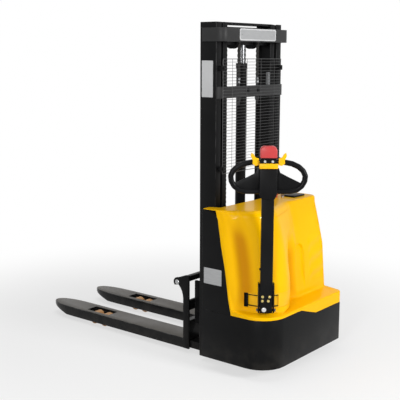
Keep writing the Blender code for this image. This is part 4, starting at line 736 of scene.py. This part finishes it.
# the hollows beside the nose: places measured from its lean and from the side, or from the rear and the crease
leftValley = [(-0.275, 0.003), (-0.299, 0.013), (-0.320, 0.030), (-0.340, 0.0460)]
rightValley = [(0.046, 0.012), (0.030, 0.058), (0.001, 0.100)]
noseAngles = list(range(80, -51, -10)) + [-68]
lipRows = [(0, 0.350), (0, 0.355), (0.012, 0.3590), (0.04, 0.3612), (0.09, 0.3622), (0.25, 0.3640),
           (0.50, 0.3665), (0.75, 0.3690), (0.90, 0.3710), (0.97, 0.3740), (1.0, 0.3790)]


def tableValue(table, value):
    if value <= table[0][0]:
        return table[0][1]
    for (v0, r0), (v1, r1) in zip(table, table[1:]):
        if value <= v1:
            return r0 + (r1 - r0) * (value - v0) / (v1 - v0)
    return table[-1][1]


def smoothTable(table, value, reach=0.018):  # the table with its corners rounded
    return sum(tableValue(table, value + reach * k / 4) for k in range(-4, 5)) / 9


def softStep(low, high, value):
    t = min(1.0, max(0.0, (value - low) / (high - low)))
    return t * t * (3 - 2 * t)


def lerp(a, b, t):
    return tuple(p + (q - p) * t for p, q in zip(a, b))


class HoodShape:
    # level sections of the cover, from the left panel's edge round the rear to the right panel's edge
    def __init__(self):
        skirtLow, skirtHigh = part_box("chassis_skirt")
        self.half = (skirtHigh[1] - skirtLow[1]) / 2
        self.rear = skirtLow[0] - mastFront
        steer = jointOf["steer"]["pos_m"]
        self.steerX = steer[0] - mastFront
        self.steerY = steer[1] - mastMiddle
        self.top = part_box("hood_cover")[1][2]
        self.step = (0.070, -0.090)
        self.rimHigh = skirtHigh[2]
        self.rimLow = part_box("side_panel_right")[0][2]

    def rim(self, y):
        t = min(1.0, max(0.0, (y - self.step[1]) / (self.step[0] - self.step[1])))
        return self.rimLow + (self.rimHigh - self.rimLow) * t + 0.0008

    def edge(self, z):
        return tableValue(panelEdge, z) - 0.0015

    def right(self, rear, start, corner=0.035):
        path = [lerp((rear, self.step[1]), (rear, -self.half + corner), i / 4) for i in range(5)][1:]
        path += ringArc(rear + corner, -self.half + corner, corner, 180, 270, 4)
        return path + [((rear + corner + start) / 2, -self.half), (start, -self.half)]

    def flange(self, start, corner=0.150):
        rear = self.rear + 0.001
        end = (max(rear + corner, start - 0.25), self.half)
        path = [lerp((start, self.half), end, i / 2) for i in range(3)]
        path += ringArc(rear + corner, self.half - corner, corner, 90, 180, 19)[1:]
        high, low = self.step
        path += [(rear, y) for y in ((self.half - corner + high) / 2, high, (high + low) / 2, low)]
        return path + self.right(rear, start)

    def body(self, z):  # the nose leans forward towards the top while its right side flattens out
        rear = smoothTable(rearFace, z)
        start = self.edge(z)
        lean = smoothTable(noseLean, z, 0.04)
        shallow = hood["valleyFade"] * softStep(0.70, 0.90, z)
        valley = [(lean + x, self.half - depth * (1 - shallow)) for x, depth in leftValley]
        valley = [(min(x, start - 0.012 * (i + 1)), y) for i, (x, y) in enumerate(valley)]
        first = (min(lean - 0.262, start - 0.010), self.half)
        path = [lerp((start, self.half), first, i / 2) for i in range(3)] + valley
        crease = self.steerY - hood["noseRadius"]
        bow = []
        for angle in noseAngles:
            a = math.radians(angle)
            bow.append((self.steerX + lean - hood["noseRadius"] * math.cos(a),
                        self.steerY + hood["noseRadius"] * math.sin(a)))
        bow += [(rear + x, crease - y) for x, y in rightValley]
        last = (rear, self.step[1])
        flat = softStep(0.60, 0.78, z)
        tangent = hood["tangent"]
        for i in range(tangent, len(bow)):
            straight = lerp(bow[tangent], last, (i - tangent) / (len(bow) - tangent))
            bow[i] = lerp(bow[i], straight, flat)
        for i in range(5):
            x, y = bow[i]
            bow[i] = (x, y + (self.half - y) * 0.5 * shallow * (1 - i / 5))
        return path + bow + [last] + self.right(rear, start)

    def front(self, count):  # evenly spaced places along the top's front edge, round the mast
        wing = railHalf + 0.014
        corners = [(-0.090, self.half), (-0.090, wing + 0.010), (-0.150, wing - 0.010)]
        corners += [(x, -y) for x, y in reversed(corners)]
        lengths = [math.dist(a, b) for a, b in zip(corners, corners[1:])]
        points = []
        for i in range(count):
            left = sum(lengths) * i / (count - 1)
            for a, b, length in zip(corners, corners[1:], lengths):
                if left <= length + 1e-9:
                    points.append(lerp(a, b, left / length))
                    break
                left -= length
        return points


def curveThrough(points, counts):  # smooth curve through the points, with a number of steps for each span
    result = []
    last = len(points) - 1
    for i in range(last):
        p0, p1, p2, p3 = [points[min(max(i + k, 0), last)] for k in (-1, 0, 1, 2)]
        d1, d2, d3 = [max(math.dist(a, b), 1e-6) for a, b in ((p0, p1), (p1, p2), (p2, p3))]
        m1 = [((b - a) / d1 + (c - b) / d2) / 2 * d2 if i > 0 else (c - b) for a, b, c in zip(p0, p1, p2)]
        m2 = [((c - b) / d2 + (d - c) / d3) / 2 * d2 if i < last - 1 else (c - b)
              for b, c, d in zip(p1, p2, p3)]
        for k in range(counts[i]):
            t = k / counts[i]
            h1, h2 = 2 * t ** 3 - 3 * t ** 2 + 1, t ** 3 - 2 * t ** 2 + t
            h3, h4 = -2 * t ** 3 + 3 * t ** 2, t ** 3 - t ** 2
            result.append(tuple(h1 * a + h2 * m + h3 * b + h4 * n for a, m, b, n in zip(p1, m1, p2, m2)))
    return result + [tuple(points[-1])]


def pressing(y, z):  # how far the rear panel's pressed shapes stand in at a place on it
    pocket = hood["pocket"]
    middle = (pocket["left"] + pocket["right"]) / 2
    half = (pocket["left"] - pocket["right"]) / 2
    across = abs(y - middle)
    arch = pocket["top"] - half
    if z > arch:
        across = math.hypot(y - middle, z - arch)
    inside = 1 - softStep(half - pocket["wall"] / 2, half + pocket["wall"] / 2, across)
    inside *= softStep(pocket["low"], pocket["low"] + 0.10, z)
    ribs = hood["ribs"]
    wave = math.sin(2 * math.pi * (z + ribs["slant"] * y - ribs["start"]) / ribs["pitch"])
    area = softStep(-0.375, -0.335, y) * (1 - softStep(-0.235, -0.200, y))
    area *= softStep(0.42, 0.47, z) * (1 - softStep(0.66, 0.73, z))
    return pocket["depth"] * inside + ribs["depth"] * wave * area


def crownRows(rows, top, front, height):  # the rim rolls over into the top, widest over the nose
    radii = []
    for i in range(len(top)):
        share = i / len(top)
        near = softStep(0.02, 0.16, share) * (1 - softStep(0.46, 0.60, share))
        radii.append(hood["rim"] + (hood["noseRim"] - hood["rim"]) * near)
    for turn in (0, 12, 24, 36, 48, 60, 70, 80, 90):
        a = math.radians(turn)
        row = []
        for place, goal, radius in zip(top, front, radii):
            inset = radius * (1 - math.cos(a)) / max(math.dist(place, goal), 0.02)
            row.append((*lerp(place, goal, min(inset, 0.6)), height - radius * (1 - math.sin(a))))
        rows.append(row)
    last = rows[-1]
    for share in (0.08, 0.2, 0.4, 0.6, 0.8, 1.0):
        rows.append([(*lerp(place[:2], goal, share), height) for place, goal in zip(last, front)])


# reach and strength of the painted shade in the two valleys beside the nose
hollowShades = dict(leftReach=0.062, leftShare=0.75, rightReach=0.050, rightShare=0.45)


def hollowShadeShare(shape, point):  # how far a place lies in a valley beside the nose, where painted shade deepens the yellow
    x, y, z = point.x - mastFront, point.y - mastMiddle, point.z
    lean = smoothTable(noseLean, z, 0.04)
    distance = math.dist((x, y), (shape.steerX + lean + 0.010, shape.half - 0.050))
    left = hollowShades["leftShare"] * (1 - softStep(0.008, hollowShades["leftReach"], distance))
    left *= 1 - softStep(0.76, 0.88, z)
    crease = shape.steerY - hood["noseRadius"]
    distance = math.dist((x, y), (smoothTable(rearFace, z) + 0.026, crease - 0.052))
    right = hollowShades["rightShare"] * (1 - softStep(0.015, hollowShades["rightReach"], distance))
    right *= 1 - softStep(0.60, 0.74, z)
    return max(left, right) * softStep(0.380, 0.440, z)


def hoodRows(shape):  # rows of places from the cover's lower rim up its body and over its top
    counts = [2, 2] + [4] * 5 + [3] * 14 + [5, 6, 6, 6] + [18, 14, 12, 10] + [3] * 16
    lower = shape.body(0.379)
    counts = counts[:len(lower) - 1]
    rows = [[(x, y, shape.rim(y)) for x, y in curveThrough(shape.flange(shape.edge(0.346)), counts)]]
    flange = shape.flange(shape.edge(0.362))
    for t, z in lipRows:
        section = [lerp(a, b, t) for a, b in zip(flange, lower)]
        section[0] = (shape.edge(z), shape.half)
        section[-1] = (shape.edge(z), -shape.half)
        rows.append([(x, y, z) for x, y in curveThrough(section, counts)])
    z = 0.388
    while z < 0.884:
        rows.append([(x, y, z) for x, y in curveThrough(shape.body(z), counts)])
        z += hood["levelStep"]
    top = curveThrough(shape.body(0.890), counts)
    crownRows(rows, top, shape.front(len(top)), shape.top)
    return rows


def buildHood():
    shape = HoodShape()
    rows = hoodRows(shape)
    verts = []
    for row in rows:
        for x, y, z in row:
            if z > 0.379 and y < -0.050 and abs(x - smoothTable(rearFace, z)) < 0.012:
                x += pressing(y, z)
            verts.append(at(x, min(max(y, -shape.half), shape.half), z))
    width = len(rows[0])
    corners = [r * width + c for r in range(len(rows) - 1) for c in range(width - 1)]
    faces = [(a, a + 1, a + width + 1, a + width) for a in corners]
    mesh = bpy.data.meshes.new("yellow_cover")
    mesh.from_pydata(verts, [], faces)
    cover = showMesh("yellow_cover", mesh, "yellowPaint")
    addModifier(cover, "SOLIDIFY", thickness=hood["wall"], offset=-1.0, use_even_offset=False)
    cutHood(cover, shape)
    mesh = cover.data
    mesh.materials.clear()
    mesh.materials.append(finishes["yellowPaint"])
    # painted shade: each corner of the cover carries how far its yellow is darkened beside the nose
    layer = mesh.attributes.new("hollow", "FLOAT", "POINT")
    layer.data.foreach_set("value", [hollowShadeShare(shape, vertex.co) for vertex in mesh.vertices])
    smoothShade(mesh, 42)
    settle(cover, "root", ("hood_cover",))


def sectorOutline(near, far, start, end, count):
    # a ring sector round the steering axis, its angles in degrees from straight back towards the left
    cx, cy = jointOf["steer"]["pos_m"][:2]
    angles = [math.radians(start + (end - start) * i / count) for i in range(count + 1)]
    outline = [(cx - far * math.cos(a), cy + far * math.sin(a)) for a in angles]
    return outline + [(cx - near * math.cos(a), cy + near * math.sin(a)) for a in reversed(angles)]


def cutHood(cover, shape):  # the slot for the tiller and the hole for the emergency stop
    low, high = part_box("steering_drum")
    radius = hood["noseRadius"]
    outline = sectorOutline(radius - hood["slotDepth"], radius + 0.012, *hood["slotAngles"], 48)
    cutters = [prism("slotCutter", outline, low[2] - 0.001, high[2] + 0.001, Matrix.Identity(4),
                     "blackPaint")]
    low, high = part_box("emergency_stop")
    outline = ringArc((low[0] + high[0]) / 2, (low[1] + high[1]) / 2, hood["stopHole"], 0, 350, 35)
    cutters.append(prism("stopCutter", outline, shape.top - 0.02, shape.top + 0.02, Matrix.Identity(4),
                         "blackPaint"))
    for cutter in cutters:
        addModifier(cover, "BOOLEAN", operation="DIFFERENCE", solver="EXACT", object=cutter)
    mesh = evaluated(cover)
    cover.modifiers.clear()
    cover.data = mesh
    for cutter in cutters:
        bpy.data.objects.remove(cutter, do_unlink=True)


chassisEdges = {
    "chassis_deck": (0.0010, 1), "bulkhead_plate": (0.0008, 1),
    "battery_pack": (0.004, 3), "hydraulic_unit": (0.002, 2), "motor_controller": (0.002, 2),
    "control_panel": (0.0010, 1), "emergency_stop": (0.0010, 2), "key_switch": (0.0006, 1),
}


def buildChassis():
    refinish("chassis_skirt", 0.0015, 2, "skirtPaint")
    for side in ("left", "right"):
        refinish("side_panel_" + side, 0.0018, 2, "skirtPaint")
        refinish("support_leg_" + side, 0.0025, 2)
    refinishAll(chassisEdges)


# Steering slot and bracket

slotFrame = dict(angles=(22.5, 97.0), bar=0.0050, near=0.0057, depth=0.0040, inset=0.0065,
                 endAngles=(90.0, 105.0), endDepth=0.0026)


def buildSlotFrame():  # black bars in the drum's recess and a black end piece fixed in the cover's opening
    low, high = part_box("steering_drum")
    near = hood["noseRadius"] - slotFrame["near"]
    z0, z1 = low[2] + slotFrame["inset"], high[2] - slotFrame["inset"]
    bar = slotFrame["bar"]
    shape = sectorOutline(near, near + slotFrame["depth"], *slotFrame["angles"], 30)
    bars = [prism("frameBar", shape, za, zb, Matrix.Identity(4), "blackPlastic")
            for za, zb in ((z0, z0 + bar), (z1 - bar, z1))]
    settle(joinPieces("slot_frame", bars), "steer_unit")
    near = hood["noseRadius"] + 0.0004
    shape = sectorOutline(near, near + slotFrame["endDepth"], *slotFrame["endAngles"], 5)
    end = prism("slot_end", shape, low[2], high[2], Matrix.Identity(4), "blackPlastic", 0.0008, 1)
    settle(end, "root")


tillerJoint = jointOf["tiller_tilt"]
tillerX = Vector(tillerJoint["axis"])
tillerY = Vector((0, 0, 1)).cross(tillerX)
tillerOrigin = Vector((tillerJoint["pos_m"][0], tillerJoint["pos_m"][1], 0))


def onTiller(across, up, depth=0.0):  # a place on the tiller: across, up, then towards the truck
    return tillerOrigin + tillerX * across + tillerY * depth + Vector((0, 0, up))


bracketFit = dict(capReach=0.0490, armFront=0.0175,
                  stud=(-0.0120, 0.4050), studSize=(0.0100, 0.0045, 0.0125),
                  bolts=((-0.0200, 0.4770), (0.0180, 0.4770), (-0.0210, 0.4540), (0.0110, 0.4540)),
                  boltSize=(0.0055, 0.0030, 0.0075),
                  cap=[(0.0, 0.0040), (0.0060, 0.0034), (0.0088, 0.0), (0.0088, -0.0035), (0.0, -0.0035)])


def buildBracketDetails():  # caps on the hinge pin, four bolts and a bright nut low on the arm
    for side, s in (("right", 1), ("left", -1)):
        centre = onTiller(s * bracketFit["capReach"], tillerJoint["pos_m"][2])
        cap = lathe("pin_cap_" + side, bracketFit["cap"], centre, tillerX * s, "chromeRod", 24)
        settle(cap, "steer_unit")
    rear = -bracketFit["armFront"]
    spots = [(onTiller(x, z, rear), -tillerY) for x, z in bracketFit["bolts"]]
    bolts("arm_bolts", spots, "tiller", "zincPlate", *bracketFit["boltSize"])
    stud = onTiller(*bracketFit["stud"], rear)
    bolts("arm_nut", [(stud, -tillerY)], "tiller", "brightZinc", *bracketFit["studSize"])


# Drive, wheels, carriage and forks

eyePin = dict(x=0.2047, y=0.271, z=0.4247,
              profile=[(0.0, 0.0035), (0.0120, 0.0035), (0.0150, 0.0010), (0.0150, -0.016), (0.0, -0.016)])


def buildRunningGear():
    for node in ("drive_gearbox", "drive_motor", "drive_hub", "drive_tyre", "caster_fork", "caster_wheel"):
        refinish(node, 0.0012, 2)
    refinish("steering_drum", 0.0008, 2)
    buildSlotFrame()
    buildBracketDetails()
    for side in ("left", "right"):
        for place in ("lower", "upper"):
            refinish("carriage_roller_%s_%s" % (side, place), 0.0)
        for place in ("rear", "front"):
            refinish("load_wheel_%s_%s" % (side, place), 0.0)


def buildCarriage():
    refinish("carriage_frame", 0.0018, 2)
    for side in ("left", "right"):
        refinish("fork_" + side, 0.0035, 3)
    for side, s in (("left", 1), ("right", -1)):
        face = at(eyePin["x"], s * eyePin["y"], eyePin["z"])
        settle(lathe("eye_pin_" + side, eyePin["profile"], face, (0, s, 0), "bareSteel", 32), "carriage")


# Tiller

loop = dict(barRadius=0.0148, depth=0.010, webThick=0.012,
            path=[(0.040, 1.203), (0.085, 1.1985), (0.125, 1.1905), (0.160, 1.1745), (0.184, 1.152),
                  (0.1955, 1.126), (0.192, 1.098), (0.177, 1.072), (0.152, 1.0525), (0.118, 1.0445),
                  (0.080, 1.0440), (0.040, 1.0450)],
            web=[(0.040, 1.036), (0.100, 1.034), (0.150, 1.052), (0.180, 1.085), (0.158, 1.096),
                 (0.110, 1.119), (0.064, 1.143), (0.056, 1.168), (0.040, 1.170)])
headBlocks = {  # half of each outline from its foot up, the depths it spans, its edge and edge segments
    "neck": ([(0.0325, 1.0025), (0.047, 1.033), (0.047, 1.167)], -0.025, 0.025, 0.006, 3),
    "spine": ([(0.045, 1.150), (0.045, 1.2165)], -0.024, 0.0017, 0.002, 2),
    "post": ([(0.039, 1.214), (0.039, 1.268)], -0.016, 0.026, 0.001, 1),
}


def buildTillerHead():
    pieces = []
    place = Matrix((tillerX, Vector((0, 0, 1)), -tillerY)).transposed().to_4x4()
    place.translation = tillerOrigin
    depth = loop["depth"]
    thick = loop["webThick"] / 2
    for s in (1, -1):
        points = [onTiller(s * x, z, depth) for x, z in loop["path"]]
        pieces.append(tube("bar", points, loop["barRadius"], "blackPlastic", 24))
        web = [(s * x, z) for x, z in loop["web"]][::s]
        pieces.append(prism("web", web, -depth - thick, -depth + thick, place, "blackPlastic", 0.003, 2))
    for name, (half, low, high, edge, segments) in headBlocks.items():
        outline = half + [(-x, z) for x, z in reversed(half)]
        pieces.append(prism(name, outline, low, high, place, "blackPlastic", edge, segments))
    settle(joinPieces("tiller_head_moulding", pieces), "tiller", ("tiller_head",))


tillerEdges = {
    "tiller_arm": (0.0060, 4), "tiller_bracket": (0.0010, 2), "head_trim": (0.0015, 2),
    "button_strip": (0.0012, 2), "belly_button": (0.0012, 2), "throttle_paddles": (0.0018, 3),
    "lift_button": (0.0010, 2), "lower_button": (0.0010, 2),
}
armScrew = dict(across=-0.0325, up=0.625, size=(0.006, 0.006, 0.008))


def buildTiller():
    refinishAll(tillerEdges)
    buildTillerHead()
    screw = onTiller(armScrew["across"], armScrew["up"])
    bolts("arm_screw", [(screw, -tillerX)], "tiller", "blackPaint", *armScrew["size"])


# Blank plates

capacity = dict(size=(0.352, 0.065), corner=0.012, border=0.007, thick=0.0016, z=1.8605, rivet=0.155)
sidePlates = {
    "rail_label": dict(low=1.522, high=1.7195, front=-0.0125, rear=-0.0895, thick=0.0006, corner=0.004,
                       on="outer_rail_left", finish="blankLabel"),
    "panel_plate": dict(front=-0.0937, rear=-0.2164, low=0.4985, high=0.5887, thick=0.0008, corner=0.003,
                        on="side_panel_left", finish="blankPlate"),
}


def buildPlates():
    thick, border, corner = capacity["thick"], capacity["border"], capacity["corner"]
    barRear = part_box("outer_top_crossbar")[0][0]
    place = axesMatrix((barRear, mastMiddle, capacity["z"]), (0, -1, 0), (0, 0, 1))
    outline = roundedBox(*capacity["size"], corner)
    settle(prism("capacity_plate", outline, 0.0001, thick, place, "blankLabel", 0.0005, 1), "root")
    wide, tall = [length - 2 * border for length in capacity["size"]]
    field = prism("capacity_field", roundedBox(wide, tall, corner - 0.004), thick - 0.0001, thick + 0.0003,
                  place, "blankPlate", 0.0001, 1)
    settle(field, "root")
    rivets = [(place @ Vector((s * capacity["rivet"], 0, thick + 0.0003)), (-1, 0, 0)) for s in (-1, 1)]
    bolts("capacity_rivets", rivets, "root", "bareSteel", 0.0028, 0.0016, 0.0034)
    for name, look in sidePlates.items():
        middle = at((look["front"] + look["rear"]) / 2, 0, (look["low"] + look["high"]) / 2)
        place = axesMatrix((middle.x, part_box(look["on"])[1][1], middle.z), (-1, 0, 0), (0, 0, 1))
        shape = roundedBox(look["front"] - look["rear"], look["high"] - look["low"], look["corner"])
        settle(prism(name, shape, 0.0001, look["thick"], place, look["finish"], 0.0002, 1), "root")
    rivets = [(place @ Vector((x, z, look["thick"])), (0, 1, 0))  # the last plate, on the panel, is riveted
              for x in (-0.056, 0.056) for z in (-0.040, 0.040)]
    bolts("panel_plate_rivets", rivets, "root", "bareSteel", 0.0016, 0.0010, 0.0020)


# Floor, lamps and camera

view = dict(place=(-2.8819, 3.9123, 1.7486), azimuth=218.6772, pitch=9.8807, roll=0.1782, lens=74.888)


def buildCamera():
    camera = newObject("camera", bpy.data.cameras.new("camera"))
    a, e = math.radians(view["azimuth"]), math.radians(view["pitch"])
    back = Vector((math.sin(a) * math.cos(e), -math.cos(a) * math.cos(e), math.sin(e)))
    camera.rotation_mode = "QUATERNION"
    camera.location = at(*view["place"])
    turn = (-back).to_track_quat("-Z", "Y")
    camera.rotation_quaternion = turn @ Quaternion((0, 0, 1), math.radians(view["roll"]))
    camera.data.sensor_width = 36.0
    camera.data.lens = view["lens"]
    camera.data.clip_start = 0.05
    camera.data.clip_end = 100.0
    bpy.context.scene.camera = camera


studio = dict(world=0.18, aim=(-0.1, 0, 0.8),
              lamps={"key": ((-4.6, 0.0, 2.2), 1.0, 150.0), "fill": ((-1.9, 4.8, 2.2), 1.0, 112.0),
                     "top": ((0.3, 0.4, 4.6), 2.4, 55.0)})  # each lamp's place, width and power


def buildStudio():
    world = bpy.data.worlds.new("studio")
    world.use_nodes = True
    bpy.context.scene.world = world
    tree = world.node_tree
    rays = addNode(tree, "ShaderNodeLightPath").outputs
    seen = mathNode(tree, "ADD", rays["Is Camera Ray"], rays["Is Glossy Ray"])
    seen = mathNode(tree, "ADD", seen, rays["Is Transmission Ray"], clamp=True)
    shine = tree.nodes["Background"].inputs
    shine["Color"].default_value = (1.0, 1.0, 1.0, 1.0)
    feed(tree, shine["Strength"], rangeNode(tree, seen, 0.0, 1.0, studio["world"], 1.0, smooth=False))
    for name, (place, size, power) in studio["lamps"].items():
        lamp = newObject(name, bpy.data.lights.new(name, "AREA"))
        lamp.data.shape = "SQUARE"
        lamp.data.size = size
        lamp.data.energy = power
        lamp.location = at(*place)
        lamp.rotation_mode = "QUATERNION"
        lamp.rotation_quaternion = (lamp.location - at(*studio["aim"])).to_track_quat("Z", "Y")


floorLook = dict(reach=14.0, tone=0.82, near=0.9, far=2.8, nearGlow=0.62)


def buildFloor():  # pale near the machine, and fading into the white background
    mesh = bpy.data.meshes.new("floor")
    r = floorLook["reach"]
    mesh.from_pydata([(-r, -r, 0), (r, -r, 0), (r, r, 0), (-r, r, 0)], [], [(0, 1, 2, 3)])
    floor = newObject("floor", mesh)
    mat = bpy.data.materials.new("paleFloor")
    mat.use_nodes = True
    tree = mat.node_tree
    diffuse = tree.nodes["Principled BSDF"]
    diffuse.inputs["Base Color"].default_value = (*[floorLook["tone"]] * 3, 1.0)
    diffuse.inputs["Roughness"].default_value = 0.9
    glow = addNode(tree, "ShaderNodeEmission", {"Color": (1.0, 1.0, 1.0, 1.0)})
    rays = addNode(tree, "ShaderNodeLightPath").outputs
    seen = mathNode(tree, "ADD", rays["Is Camera Ray"], rays["Is Glossy Ray"], clamp=True)
    place = addNode(tree, "ShaderNodeTexCoord").outputs["Object"]
    length = addNode(tree, "ShaderNodeVectorMath", {0: place}, operation="LENGTH").outputs["Value"]
    far = rangeNode(tree, length, floorLook["near"], floorLook["far"], floorLook["nearGlow"], 1.0)
    mixer = addNode(tree, "ShaderNodeMixShader", {0: times(tree, seen, far), 1: diffuse.outputs[0],
                                                  2: glow.outputs[0]})
    feed(tree, tree.nodes["Material Output"].inputs["Surface"], mixer.outputs[0])
    mesh.materials.append(mat)


buildMast()
buildGuard()
buildChains()
print("mast done")
buildHood()
buildChassis()
print("chassis and cover done")
buildRunningGear()
buildCarriage()
print("carriage and wheels done")
buildTiller()
print("tiller done")
buildPlates()
print("plates done")
buildCamera()
buildStudio()
buildFloor()
print("nodes left as packed:", [node for node in bodyOf if node not in finishedNodes])
bpy.context.scene.view_settings.view_transform = "Standard"
